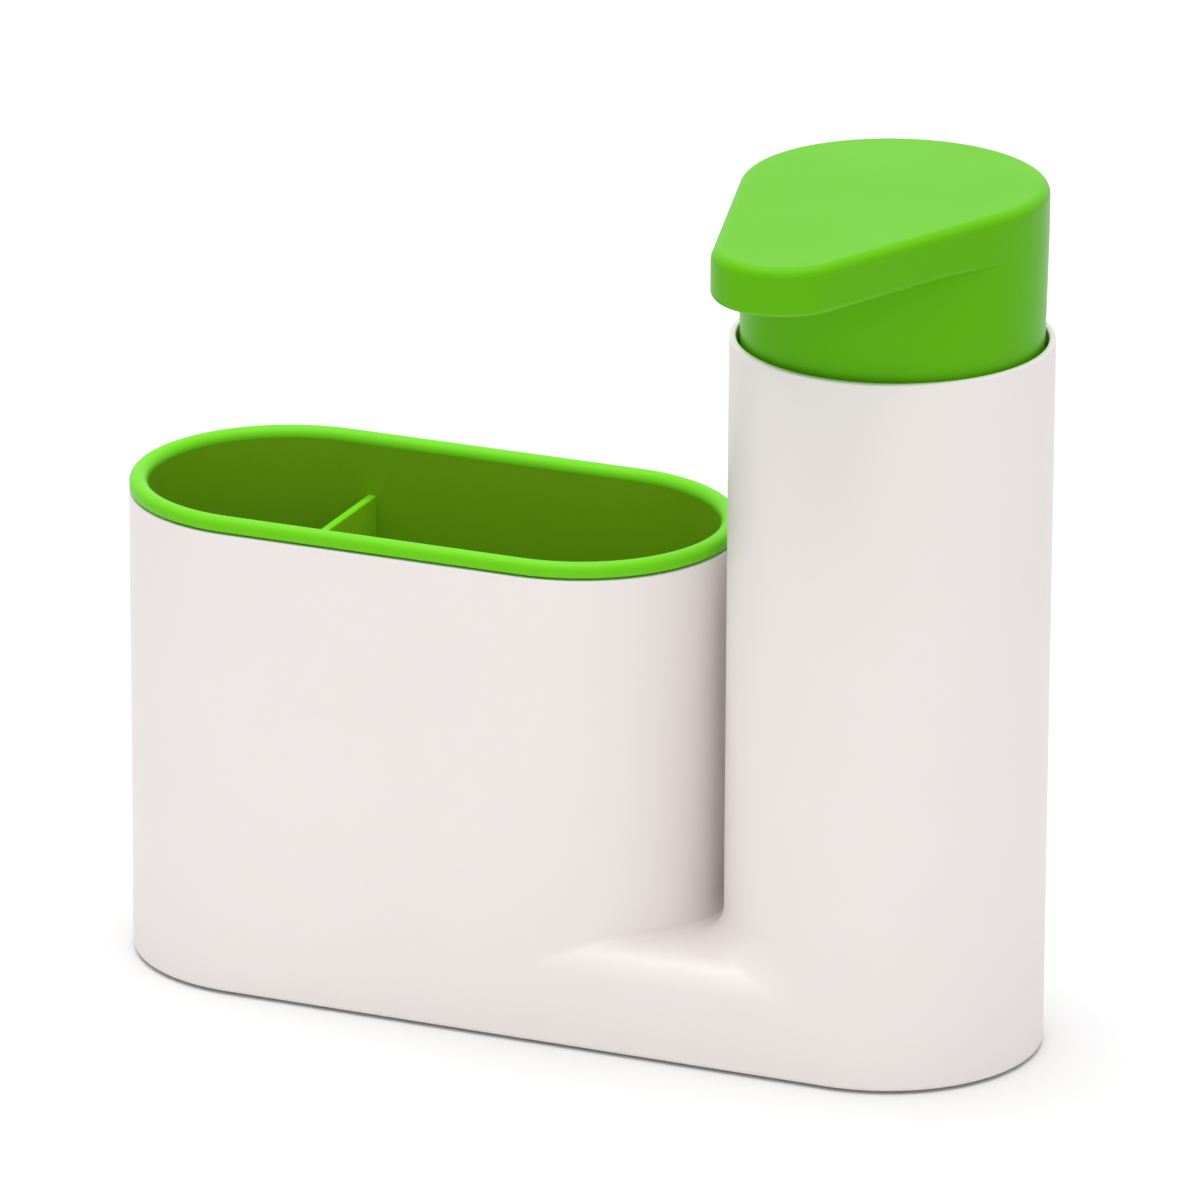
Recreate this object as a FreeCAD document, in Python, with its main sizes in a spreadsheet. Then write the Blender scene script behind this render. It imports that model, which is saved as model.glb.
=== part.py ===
# Soap pump caddy: a white moulded body with a low caddy and a dispenser tower, a green lift-out
# liner with a fixed divider, and a lift-out soap bottle whose lotion pump wears a green spouted head.
# Millimetres. The origin is on the resting plane under the middle of the base, +X points to the
# tower, -Y to the front where the spout points, +Z up.
import FreeCAD, Part
import math
import os
import re

import Sketcher

Vector = FreeCAD.Vector
UP = Vector(0, 0, 1)
FULL_TURN = 360
NEAR = 1e-3

# Driving sizes: name, value, meaning
SIZES = [
    ("base_length", 197.0, "length of the base over its round ends"),
    ("base_width", 65.0, "width of the base, caddy and tower"),
    ("overall_height", 181.5, "resting plane to the top of the head"),
    ("base_height", 24.0, "resting plane to the floor of the notch"),
    ("caddy_height", 99.6, "resting plane to the top of the caddy wall"),
    ("notch_gap", 2.3, "narrowest gap between caddy and tower"),
    ("shell_wall", 1.4, "side walls of the body"),
    ("floor_wall", 2.2, "wall under the notch floor"),
    ("side_recess", 0.15, "base side in the notch, inside the sides of caddy and tower"),
    ("base_edge_round", 5.0, "rounding of the base's upper edge in the notch"),
    ("foot_round", 0.9, "fillet where caddy and tower stand on the base"),
    ("bottom_edge_round", 1.0, "rounding of the body's lower edge"),
    ("rim_round", 0.4, "rounding of the caddy's and the tower's rims"),
    ("pad_thickness", 1.2, "non-slip pad"),
    ("pad_recess", 0.6, "depth of the pad's recess in the base plate"),
    ("pad_inset", 3.0, "pad edge to base plate edge"),
    ("pad_clearance", 0.1, "pad to its recess"),
    ("plate_thickness", 3.0, "base plate"),
    ("plate_clearance", 0.15, "base plate to the body's wall"),
    ("screw_inset", 9.0, "screws from the side wall"),
    ("boss_radius", 3.6, "screw boss outside"),
    ("boss_web", 1.6, "web from each screw boss to the side wall"),
    ("boss_gap", 1.8, "screw boss to the bottle"),
    ("boss_height", 15.0, "screw boss over the base plate"),
    ("screw_radius", 1.5, "screw shank"),
    ("screw_grip", 9.0, "screw shank in its boss"),
    ("screw_head_radius", 2.8, "screw head"),
    ("screw_head_height", 1.2, "screw head"),
    ("screw_clearance", 0.2, "screw in the base plate"),
    ("liner_clearance", 0.5, "liner to the caddy wall"),
    ("liner_wall", 2.0, "liner side wall"),
    ("liner_floor", 1.6, "liner floor"),
    ("liner_foot_gap", 2.6, "liner over the notch floor's level"),
    ("liner_corner_round", 5.0, "outer rounding between liner wall and floor"),
    ("lip_height", 3.4, "liner lip"),
    ("lip_overhang", 0.1, "liner lip beyond the caddy wall"),
    ("lip_round", 1.5, "rounding of the lip's upper edges"),
    ("lip_under_round", 0.4, "rounding of the lip's lower edge"),
    ("divider_offset", 34.5, "divider from the liner's left end, inside"),
    ("divider_thickness", 1.9, "divider"),
    ("divider_drop", 13.0, "divider's top below the lip's top"),
    ("drain_radius", 2.2, "drain holes"),
    ("drain_pitch", 13.0, "drain hole spacing"),
    ("bottle_clearance", 0.8, "bottle to the tower's bore"),
    ("bottle_wall", 1.3, "bottle wall"),
    ("bottle_floor", 1.6, "bottle floor"),
    ("bottle_foot_round", 4.0, "rounding of the bottle's foot"),
    ("shoulder_rise", 11.0, "bottle shoulder"),
    ("shoulder_round", 9.0, "rounding of the bottle's shoulder"),
    ("neck_length", 16.4, "bottle neck"),
    ("neck_radius", 13.4, "bottle neck outside"),
    ("neck_wall", 1.8, "bottle neck wall"),
    ("gasket_thickness", 1.0, "neck gasket"),
    ("gasket_clearance", 0.15, "neck gasket to the cylinder"),
    ("flange_thickness", 1.5, "cylinder flange"),
    ("collar_wall", 3.1, "collar wall"),
    ("collar_top", 1.5, "collar top plate"),
    ("collar_skirt", 15.0, "collar below its top plate"),
    ("collar_round", 1.0, "rounding of the collar's upper edge"),
    ("thread_gap", 0.5, "collar to neck, room for the thread"),
    ("flute_radius", 0.7, "collar grip flutes"),
    ("collar_play", 0.3, "collar on the chaplet"),
    ("chaplet_neck_radius", 9.2, "chaplet inside the collar's hole"),
    ("chaplet_head_radius", 11.5, "chaplet over the collar"),
    ("chaplet_head", 1.4, "chaplet's head over the collar"),
    ("chaplet_plug", 10.5, "chaplet inside the cylinder"),
    ("cylinder_bore", 7.0, "cylinder bore, as a radius"),
    ("cylinder_wall", 1.4, "cylinder wall"),
    ("spring_room", 8.75, "room for the spring at full stroke"),
    ("ball_radius", 2.2, "foot valve ball"),
    ("ball_play", 0.4, "ball to its chamber"),
    ("ball_lift", 1.6, "ball travel"),
    ("ball_lip", 0.8, "lip that keeps the ball in"),
    ("ball_lip_reach", 0.7, "lip inward from the chamber wall"),
    ("valve_clearance", 0.15, "valve faces apart"),
    ("passage_radius", 1.5, "inlet passage under the ball"),
    ("passage_length", 2.0, "inlet passage under the ball"),
    ("dip_radius", 2.6, "dip tube outside"),
    ("dip_wall", 0.8, "dip tube wall"),
    ("dip_socket", 7.0, "dip tube in the cylinder"),
    ("dip_gap", 3.0, "dip tube over the bottle's floor"),
    ("stem_radius", 3.5, "stem outside"),
    ("stem_bore", 2.0, "stem bore, as a radius"),
    ("stem_ring_radius", 4.8, "stop ring on the stem"),
    ("stem_ring_height", 2.3, "stop ring on the stem"),
    ("port_radius", 0.9, "cross ports in the stem"),
    ("slide_fit", 0.05, "running clearance of stem and piston"),
    ("stop_gap", 0.2, "stops apart at rest"),
    ("piston_slip", 1.2, "piston travel on the stem"),
    ("piston_length", 10.5, "piston"),
    ("piston_land", 1.6, "sealing lands of the piston"),
    ("piston_waist", 1.6, "piston waist inside its lands"),
    ("seat_radius", 5.2, "piston seat"),
    ("seat_thickness", 2.4, "piston seat"),
    ("seat_plug", 6.0, "piston seat inside the stem"),
    ("coil_radius", 4.6, "spring coil, to the middle of the wire"),
    ("wire_radius", 0.5, "spring wire"),
    ("spring_gap", 0.1, "spring to its seats"),
    ("press_travel", 18.0, "pump stroke"),
    ("press_gap", 0.4, "socket over the chaplet at full stroke"),
    ("rim_gap", 4.0, "nose over the tower's rim at full stroke"),
    ("head_clearance", 0.3, "round part of the head to the tower's bore"),
    ("skirt_clearance", 0.9, "lower end of the head's skirt to the tower's bore"),
    ("skirt_length", 30.0, "skirt below the nose's underside"),
    ("head_wall", 1.8, "walls of the head"),
    ("head_top_round", 2.0, "rounding of the head's upper edge"),
    ("nose_thickness", 9.9, "head top to the nose's underside"),
    ("nose_distance", 50.8, "tower axis to the middle of the nose's round end"),
    ("nose_radius", 13.9, "round end of the nose"),
    ("nose_edge_round", 1.0, "rounding of the nose's lower edge"),
    ("spout_turn", -4.0, "spout's turn from straight ahead, degrees"),
    ("cover_thickness", 1.6, "nose cover"),
    ("cover_clearance", 0.1, "nose cover to the nose's wall"),
    ("cover_bearing", 1.5, "nose cover on the skirt's wall"),
    ("socket_radius", 6.0, "stem socket outside"),
    ("socket_length", 15.9, "stem socket below the core web"),
    ("socket_depth", 10.0, "stem in its socket"),
    ("web_drop", 4.0, "core web below the nose's underside"),
    ("web_thickness", 1.6, "core web"),
    ("web_clearance", 0.1, "core web to the skirt"),
    ("web_hole_radius", 5.0, "holes in the core web"),
    ("channel_radius", 2.8, "channel outside"),
    ("channel_bore", 1.8, "channel bore, as a radius"),
    ("channel_drop", 0.3, "channel below the core's top"),
    ("core_gap", 0.1, "core to the head's ceiling and to the nose cover"),
    ("outlet_offset", 3.0, "outlet beyond the middle of the nose's round end"),
    ("outlet_block_radius", 3.8, "channel end over the outlet"),
    ("nozzle_radius", 2.4, "nozzle outside"),
    ("nozzle_bore", 1.5, "nozzle bore, as a radius"),
    ("nozzle_flange_radius", 3.6, "nozzle flange"),
    ("nozzle_flange", 1.0, "nozzle flange"),
    ("nozzle_tail", 2.0, "nozzle in the channel end"),
]

# Sizes worked out from the driving ones, in order
DERIVED = [
    ("end_radius", "base_width / 2"),
    ("bore_radius", "end_radius - shell_wall"),
    ("tower_x", "base_length / 2 - end_radius"),
    ("caddy_end_x", "tower_x - 2 * end_radius - notch_gap"),
    ("nose_low", "overall_height - nose_thickness"),
    ("tower_height", "nose_low - press_travel - rim_gap"),
    ("plate_low", "pad_thickness - pad_recess"),
    ("plate_top", "plate_low + plate_thickness"),
    ("plate_radius", "bore_radius - plate_clearance"),
    ("bottle_radius", "bore_radius - bottle_clearance"),
    ("screw_y", "bore_radius - screw_inset"),
    ("screw_reach", "bottle_radius + boss_gap + boss_radius"),
    ("screw_x", "tower_x - sqrt(screw_reach * screw_reach - screw_y * screw_y)"),
    ("boss_web_end", "bore_radius + shell_wall / 2"),
    ("head_seat", "pad_thickness + screw_head_height + screw_clearance"),
    ("liner_low", "base_height + liner_foot_gap"),
    ("liner_radius", "bore_radius - liner_clearance"),
    ("liner_inner", "liner_radius - liner_wall"),
    ("liner_top", "caddy_height + lip_height"),
    ("divider_x", "divider_offset - tower_x - liner_inner"),
    ("head_radius", "bore_radius - head_clearance"),
    ("skirt_radius", "bore_radius - skirt_clearance"),
    ("skirt_inner", "skirt_radius - head_wall"),
    ("skirt_low", "nose_low - skirt_length"),
    ("ceiling", "overall_height - head_wall"),
    ("web_up", "nose_low - web_drop"),
    ("core_low", "web_up - web_thickness - socket_length"),
    ("core_up", "ceiling - core_gap"),
    ("channel_z", "core_up - channel_drop - channel_radius"),
    ("outlet_reach", "nose_distance + outlet_offset"),
    ("cover_up", "nose_low + cover_thickness"),
    ("block_low", "cover_up + core_gap"),
    ("stem_up", "core_low + socket_depth"),
    ("chaplet_up", "core_low - press_gap - press_travel"),
    ("chaplet_seat", "chaplet_up - chaplet_head"),
    ("collar_up", "chaplet_seat - collar_play"),
    ("flange_top", "collar_up - collar_top"),
    ("flange_low", "flange_top - flange_thickness"),
    ("neck_top", "flange_low - gasket_thickness"),
    ("shoulder_top", "neck_top - neck_length"),
    ("shoulder_low", "shoulder_top - shoulder_rise"),
    ("collar_inner", "neck_radius + thread_gap"),
    ("collar_radius", "collar_inner + collar_wall"),
    ("chaplet_low", "flange_top - chaplet_plug"),
    ("ring_up", "chaplet_low - stop_gap"),
    ("ring_low", "ring_up - stem_ring_height"),
    ("piston_up", "ring_low - stop_gap - piston_slip"),
    ("piston_low", "piston_up - piston_length"),
    ("seat_up", "piston_low - valve_clearance"),
    ("seat_low", "seat_up - seat_thickness"),
    ("cylinder_radius", "cylinder_bore + cylinder_wall"),
    ("ledge", "seat_low - press_travel - spring_room"),
    ("ball_roof", "ledge - ball_lip"),
    ("ball_chamber", "ball_radius + ball_play"),
    ("ball_z", "ball_roof - valve_clearance - ball_lift - ball_radius"),
    ("valve_low", "ball_z + passage_radius - (ball_radius + valve_clearance) * sqrt(2)"),
    ("socket_up", "valve_low - passage_length"),
    ("cylinder_low", "socket_up - dip_socket"),
    ("dip_low", "plate_top + bottle_floor + dip_gap"),
]

DRAINS_LEFT = 2
DRAINS_RIGHT = 6
FLUTES = 30
WEB_HOLES = 4
SPRING_TURNS = 6

doc = FreeCAD.newDocument("soap_pump_caddy")
sheet = doc.addObject("Spreadsheet::Sheet", "Sizes")
pieces = []


def fill_sheet():
    """Driving sizes as plain numbers, then the sizes worked out from them."""
    row = 0
    for name, value, meaning in SIZES:
        row += 1
        sheet.set(f"A{row}", name)
        sheet.set(f"B{row}", str(value))
        sheet.set(f"C{row}", meaning)
        sheet.setAlias(f"B{row}", name)
    for name, formula in DERIVED:
        row += 1
        sheet.set(f"A{row}", name)
        sheet.set(f"B{row}", f"={formula}")
        sheet.setAlias(f"B{row}", name)
    doc.recompute()


def size(formula):
    """Number that a formula of named sizes gives."""
    return float(sheet.evalExpression(formula))


def bind(target, prop, formula):
    """Tie one property to a formula of named sizes."""
    target.setExpression(prop, re.sub(r"\b([a-z]\w*)\b(?!\()", r"Sizes.\1", formula))


def new_body(label, across="0", turn="0"):
    """Empty body for one piece, set over to a place along the base and turned about the upright."""
    body = doc.addObject("PartDesign::Body", label)
    body.Label = label
    bind(body, "Placement.Base.x", across)
    bind(body, "Placement.Rotation.Angle", turn)
    pieces.append(body)
    return body


def new_sketch(body, name, role="XY_Plane", height="0"):
    """Sketch on one of the body's own planes, raised by a formula."""
    sketch = body.newObject("Sketcher::SketchObject", f"{body.Label}_{name}")
    support = next(plane for plane in body.Origin.OriginFeatures if plane.Role == role)
    sketch.AttachmentSupport = [(support, "")]
    sketch.MapMode = "FlatFace"
    bind(sketch, "AttachmentOffset.Base.z", height)
    return sketch


def measure(sketch, kind, spots, formula):
    """One dimension of a sketch, tied to a formula."""
    index = sketch.addConstraint(Sketcher.Constraint(kind, *spots, size(formula)))
    bind(sketch, f"Constraints[{index}]", formula)


def place(sketch, edge, end, across, up):
    """Fix one point of a sketch at its distances from the sketch's origin."""
    for kind, formula, axis in (("DistanceX", across, -2), ("DistanceY", up, -1)):
        if formula == "0":
            sketch.addConstraint(Sketcher.Constraint("PointOnObject", edge, end, axis))
        else:
            measure(sketch, kind, (-1, 1, edge, end), formula)


def polygon(sketch, corners):
    """Closed straight-sided outline, each corner given as two formulas."""
    spots = [Vector(size(across), size(up), 0) for across, up in corners]
    edges = []
    for start, end in zip(spots, spots[1:] + spots[:1]):
        edges.append(sketch.addGeometry(Part.LineSegment(start, end), False))
    for edge, following in zip(edges, edges[1:] + edges[:1]):
        sketch.addConstraint(Sketcher.Constraint("Coincident", edge, 2, following, 1))
    for edge, (across, up) in zip(edges, corners):
        place(sketch, edge, 1, across, up)


def circle(sketch, radius, across="0", up="0"):
    """Circle given by formulas."""
    middle = Vector(size(across), size(up), 0)
    edge = sketch.addGeometry(Part.Circle(middle, UP, size(radius)), False)
    place(sketch, edge, 3, across, up)
    measure(sketch, "Radius", (edge,), radius)


def join_smoothly(sketch, joints):
    """Make edges meet end to end without a corner."""
    for first, first_end, second, second_end in joints:
        sketch.addConstraint(Sketcher.Constraint("Tangent", first, first_end, second, second_end))


def stadium(sketch, left, right, radius):
    """Outline with two straight sides and round ends about two points of the X axis."""
    reach = size(radius)
    ends = [Vector(size(right), 0, 0), Vector(size(left), 0, 0)]
    quarter = math.pi / 2
    sketch.addGeometry(Part.ArcOfCircle(Part.Circle(ends[0], UP, reach), -quarter, quarter), False)
    sketch.addGeometry(Part.ArcOfCircle(Part.Circle(ends[1], UP, reach), quarter, 3 * quarter), False)
    over = Vector(0, reach, 0)
    sketch.addGeometry(Part.LineSegment(ends[0] + over, ends[1] + over), False)
    sketch.addGeometry(Part.LineSegment(ends[1] - over, ends[0] - over), False)
    join_smoothly(sketch, [(0, 2, 2, 1), (2, 2, 1, 1), (1, 2, 3, 1), (3, 2, 0, 1)])
    place(sketch, 0, 3, right, "0")
    place(sketch, 1, 3, left, "0")
    measure(sketch, "Radius", (0,), radius)


def teardrop(sketch, round_radius, nose_radius):
    """Outline of the head: a round part on the axis and a smaller round nose, with straight flanks."""
    large = size(round_radius)
    small = size(nose_radius)
    distance = size("nose_distance")
    lean = math.asin((large - small) / distance)
    nose = Vector(0, -distance, 0)
    flank = Vector(math.cos(lean), -math.sin(lean), 0)
    mirrored = Vector(-flank.x, flank.y, 0)
    back = Part.ArcOfCircle(Part.Circle(Vector(), UP, large), -lean, math.pi + lean)
    front = Part.ArcOfCircle(Part.Circle(nose, UP, small), math.pi + lean, 2 * math.pi - lean)
    sketch.addGeometry(back, False)
    sketch.addGeometry(front, False)
    sketch.addGeometry(Part.LineSegment(mirrored * large, nose + mirrored * small), False)
    sketch.addGeometry(Part.LineSegment(nose + flank * small, flank * large), False)
    join_smoothly(sketch, [(0, 2, 2, 1), (2, 2, 1, 1), (1, 2, 3, 1), (3, 2, 0, 1)])
    place(sketch, 0, 3, "0", "0")
    place(sketch, 1, 3, "0", "-nose_distance")
    measure(sketch, "Radius", (0,), round_radius)
    measure(sketch, "Radius", (1,), nose_radius)


def pad(body, sketch, length):
    """Raise a sketch along its plane's normal."""
    feature = body.newObject("PartDesign::Pad", f"{sketch.Label}_pad")
    feature.Profile = sketch
    bind(feature, "Length", length)
    doc.recompute()
    return feature


def cut(body, sketch, depth, upward=False, both_ways=False):
    """Cut a sketch out of the body, and see that it took material away."""
    before = body.Shape.Volume
    feature = body.newObject("PartDesign::Pocket", f"{sketch.Label}_cut")
    feature.Profile = sketch
    feature.Reversed = upward
    feature.Midplane = both_ways
    bind(feature, "Length", depth)
    doc.recompute()
    if body.Shape.Volume >= before:
        raise RuntimeError(f"{sketch.Label} cuts nothing")
    return feature


def turn(body, sketch):
    """Turn a half section about the upright axis."""
    feature = body.newObject("PartDesign::Revolution", f"{sketch.Label}_turn")
    feature.Profile = sketch
    feature.ReferenceAxis = (sketch, ["V_Axis"])
    feature.Angle = FULL_TURN
    doc.recompute()
    return feature


def repeat_round(body, feature, sketch, count):
    """Repeat one feature evenly about the upright axis."""
    pattern = body.newObject("PartDesign::PolarPattern", f"{feature.Label}_pattern")
    pattern.Originals = [feature]
    pattern.Axis = (sketch, ["N_Axis"])
    pattern.Angle = FULL_TURN
    pattern.Occurrences = count
    body.Tip = pattern
    doc.recompute()


def round_edges(body, name, radius, chosen):
    """Round the edges of the body that a test picks."""
    tip = body.Tip
    names = [f"Edge{i}" for i, edge in enumerate(tip.Shape.Edges, 1) if chosen(edge)]
    feature = body.newObject("PartDesign::Fillet", f"{body.Label}_{name}")
    feature.Base = (tip, names)
    bind(feature, "Radius", radius)
    doc.recompute()


def at_level(height):
    """Test for edges that lie at one height."""
    level = size(height)
    return lambda edge: abs(edge.BoundBox.ZMin - level) < NEAR and abs(edge.BoundBox.ZMax - level) < NEAR


def half_width(edge):
    """How far an edge reaches to the front or the back."""
    return max(abs(edge.BoundBox.YMin), abs(edge.BoundBox.YMax))


def ring_at(radius, height):
    """Test for the circle of one radius at one height."""
    flat = at_level(height)
    return lambda edge: flat(edge) and abs(edge.BoundBox.XMax - size(radius)) < NEAR


def turned(label, corners, turn_by="0"):
    """Piece on the tower's axis, turned from a half section of (radius, height) corners."""
    body = new_body(label, "tower_x", turn_by)
    section = new_sketch(body, "section", "XZ_Plane")
    polygon(section, corners)
    turn(body, section)
    return body


def body_shell():
    """White moulding: rounded base, caddy wall and tower, open below and above."""
    body = new_body("body_shell")
    base = new_sketch(body, "base", height="plate_low")
    stadium(base, "-tower_x", "tower_x", "end_radius - side_recess")
    pad(body, base, "base_height - plate_low")
    round_edges(body, "base_edge", "base_edge_round", at_level("base_height"))
    caddy = new_sketch(body, "caddy", height="plate_low")
    stadium(caddy, "-tower_x", "caddy_end_x", "end_radius")
    pad(body, caddy, "caddy_height - plate_low")
    tower = new_sketch(body, "tower", height="plate_low")
    circle(tower, "end_radius", "tower_x")
    pad(body, tower, "tower_height - plate_low")
    round_edges(body, "foot", "foot_round", at_level("base_height"))
    hollow = new_sketch(body, "base_hollow", height="plate_low")
    stadium(hollow, "-tower_x", "tower_x", "bore_radius")
    cut(body, hollow, "base_height - floor_wall - plate_low", upward=True)
    round_edges(body, "hollow_edge", "base_edge_round - shell_wall", at_level("base_height - floor_wall"))
    well = new_sketch(body, "caddy_well", height="plate_low")
    stadium(well, "-tower_x", "caddy_end_x", "bore_radius")
    cut(body, well, "caddy_height - plate_low", upward=True)
    bore = new_sketch(body, "tower_bore", height="plate_low")
    circle(bore, "bore_radius", "tower_x")
    cut(body, bore, "tower_height - plate_low", upward=True)
    webs = new_sketch(body, "webs", height="plate_top")
    bosses = new_sketch(body, "bosses", height="plate_top")
    pilots = new_sketch(body, "pilots", height="plate_top")
    for across in ("-screw_x", "screw_x"):
        for over, wall in (("-screw_y", "-boss_web_end"), ("screw_y", "boss_web_end")):
            near = f"{across} - boss_web / 2"
            far = f"{across} + boss_web / 2"
            polygon(webs, [(near, over), (far, over), (far, wall), (near, wall)])
            circle(bosses, "boss_radius", across, over)
            circle(pilots, "screw_radius", across, over)
    pad(body, webs, "boss_height")
    pad(body, bosses, "boss_height")
    cut(body, pilots, "screw_grip", upward=True)
    round_edges(body, "caddy_rim", "rim_round", at_level("caddy_height"))
    round_edges(body, "tower_rim", "rim_round", at_level("tower_height"))
    outside = size("bore_radius") + NEAR
    lowest = at_level("plate_low")
    round_edges(body, "lower_edge", "bottom_edge_round",
                lambda edge: lowest(edge) and half_width(edge) > outside)


def base_plate():
    """Cover under the body, with the pad's recess and four stepped screw holes."""
    body = new_body("base_plate")
    outline = new_sketch(body, "outline", height="plate_low")
    stadium(outline, "-tower_x", "tower_x", "plate_radius")
    pad(body, outline, "plate_thickness")
    recess = new_sketch(body, "recess", height="plate_low")
    stadium(recess, "-tower_x", "tower_x", "plate_radius - pad_inset")
    cut(body, recess, "pad_recess", upward=True)
    holes = new_sketch(body, "holes", height="plate_low")
    sinks = new_sketch(body, "sinks", height="plate_low")
    for across in ("-screw_x", "screw_x"):
        for over in ("-screw_y", "screw_y"):
            circle(holes, "screw_radius + screw_clearance", across, over)
            circle(sinks, "screw_head_radius + screw_clearance", across, over)
    cut(body, holes, "plate_thickness", upward=True)
    cut(body, sinks, "head_seat - plate_low", upward=True)


def base_pad():
    """Non-slip pad; its underside is the face that the object stands on."""
    body = new_body("base_pad")
    outline = new_sketch(body, "outline")
    stadium(outline, "-tower_x", "tower_x", "plate_radius - pad_inset - pad_clearance")
    pad(body, outline, "pad_thickness")


def base_screws():
    """Four self-tapping screws that hold the base plate to the bosses."""
    low = size("head_seat - screw_head_height")
    head = Part.makeCylinder(size("screw_head_radius"), size("screw_head_height"), Vector(0, 0, low))
    shank_length = size("plate_top - head_seat + screw_grip - screw_clearance")
    shank = Part.makeCylinder(size("screw_radius"), shank_length, Vector(0, 0, size("head_seat")))
    screw = head.fuse(shank).removeSplitter()
    across = size("screw_x")
    over = size("screw_y")
    spots = [Vector(x, y, 0) for x in (-across, across) for y in (-over, over)]
    group = doc.addObject("Part::Feature", "base_screws")
    group.Shape = Part.makeCompound([screw.translated(spot) for spot in spots])
    pieces.append(group)


def caddy_liner():
    """Green tub that hangs by its lip on the caddy wall, with a divider and drain holes."""
    body = new_body("caddy_liner")
    tub = new_sketch(body, "tub", height="liner_low")
    stadium(tub, "-tower_x", "caddy_end_x", "liner_radius")
    pad(body, tub, "caddy_height - liner_low")
    lip = new_sketch(body, "lip", height="caddy_height")
    stadium(lip, "-tower_x", "caddy_end_x", "end_radius + lip_overhang")
    pad(body, lip, "lip_height")
    inside = new_sketch(body, "inside", height="liner_low + liner_floor")
    stadium(inside, "-tower_x", "caddy_end_x", "liner_inner")
    cut(body, inside, "liner_top - liner_low - liner_floor", upward=True)
    floor = at_level("liner_low + liner_floor")
    round_edges(body, "inner_corner", "liner_corner_round - liner_wall", floor)
    round_edges(body, "tub_corner", "liner_corner_round", at_level("liner_low"))
    divider = new_sketch(body, "divider", height="liner_low + liner_floor / 2")
    reach = "liner_inner + liner_wall / 2"
    near = "divider_x - divider_thickness / 2"
    far = "divider_x + divider_thickness / 2"
    polygon(divider, [(near, f"-({reach})"), (far, f"-({reach})"), (far, reach), (near, reach)])
    pad(body, divider, "liner_top - divider_drop - liner_low - liner_floor / 2")
    drains = new_sketch(body, "drains", height="liner_low")
    for column in range(-DRAINS_LEFT, DRAINS_RIGHT):
        across = f"divider_x + ({column} + 1 / 2) * drain_pitch"
        for over in ("-drain_pitch", "0", "drain_pitch"):
            circle(drains, "drain_radius", across, over)
    cut(body, drains, "liner_floor", upward=True)
    round_edges(body, "lip_edges", "lip_round", at_level("liner_top"))
    under = at_level("caddy_height")
    beyond = size("end_radius")
    round_edges(body, "lip_under", "lip_under_round", lambda edge: under(edge) and half_width(edge) > beyond)


def soap_bottle():
    """Inner bottle that stands on the base plate inside the tower."""
    inner_neck = "neck_radius - neck_wall"
    inner_side = "bottle_radius - bottle_wall"
    body = turned("soap_bottle", [
        ("0", "plate_top"), ("bottle_radius", "plate_top"), ("bottle_radius", "shoulder_low"),
        ("neck_radius", "shoulder_top"), ("neck_radius", "neck_top"), (inner_neck, "neck_top"),
        (inner_neck, "shoulder_top - bottle_wall"), (inner_side, "shoulder_low - bottle_wall / 2"),
        (inner_side, "plate_top + bottle_floor"), ("0", "plate_top + bottle_floor")])
    round_edges(body, "foot", "bottle_foot_round", ring_at("bottle_radius", "plate_top"))
    round_edges(body, "shoulder", "shoulder_round", ring_at("bottle_radius", "shoulder_low"))


def pump_collar():
    """Fluted screw collar that clamps the pump to the bottle's neck."""
    hole = "chaplet_neck_radius + collar_play"
    low = "flange_top - collar_skirt"
    body = turned("pump_collar", [
        (hole, "flange_top"), ("collar_inner", "flange_top"), ("collar_inner", low), ("collar_radius", low),
        ("collar_radius", "collar_up"), (hole, "collar_up")])
    round_edges(body, "top", "collar_round", ring_at("collar_radius", "collar_up"))
    flute = new_sketch(body, "flute", height=low)
    circle(flute, "flute_radius", "collar_radius")
    groove = cut(body, flute, "collar_skirt - collar_round", upward=True)
    repeat_round(body, groove, flute, FLUTES)


def neck_gasket():
    """Washer between the bottle's neck and the pump's flange."""
    inner = "cylinder_radius + gasket_clearance"
    turned("neck_gasket", [
        (inner, "neck_top"), ("neck_radius", "neck_top"),
        ("neck_radius", "flange_low"), (inner, "flange_low")])


def pump_cylinder():
    """Pump chamber: flange, bore, spring ledge, ball chamber, valve seat and dip tube socket."""
    lip = "ball_chamber - ball_lip_reach"
    seat_rise = "valve_low + ball_chamber - passage_radius"
    foot = "dip_radius + cylinder_wall"
    turned("pump_cylinder", [
        ("cylinder_bore", "flange_top"), ("neck_radius", "flange_top"), ("neck_radius", "flange_low"),
        ("cylinder_radius", "flange_low"), ("cylinder_radius", "ledge - cylinder_wall"), (foot, "valve_low"),
        (foot, "cylinder_low"), ("dip_radius", "cylinder_low"), ("dip_radius", "socket_up"),
        ("passage_radius", "socket_up"), ("passage_radius", "valve_low"), ("ball_chamber", seat_rise),
        ("ball_chamber", "ball_roof"), (lip, "ball_roof"), (lip, "ledge"), ("cylinder_bore", "ledge")])


def dip_tube():
    """Tube from the cylinder's socket down to the bottle's floor."""
    inner = "dip_radius - dip_wall"
    turned("dip_tube", [
        (inner, "dip_low"), ("dip_radius", "dip_low"), ("dip_radius", "socket_up"), (inner, "socket_up")])


def check_ball():
    """Ball of the foot valve, just over its seat."""
    ball = doc.addObject("Part::Sphere", "check_ball")
    bind(ball, "Radius", "ball_radius")
    bind(ball, "Placement.Base.x", "tower_x")
    bind(ball, "Placement.Base.z", "ball_z")
    pieces.append(ball)


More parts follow.
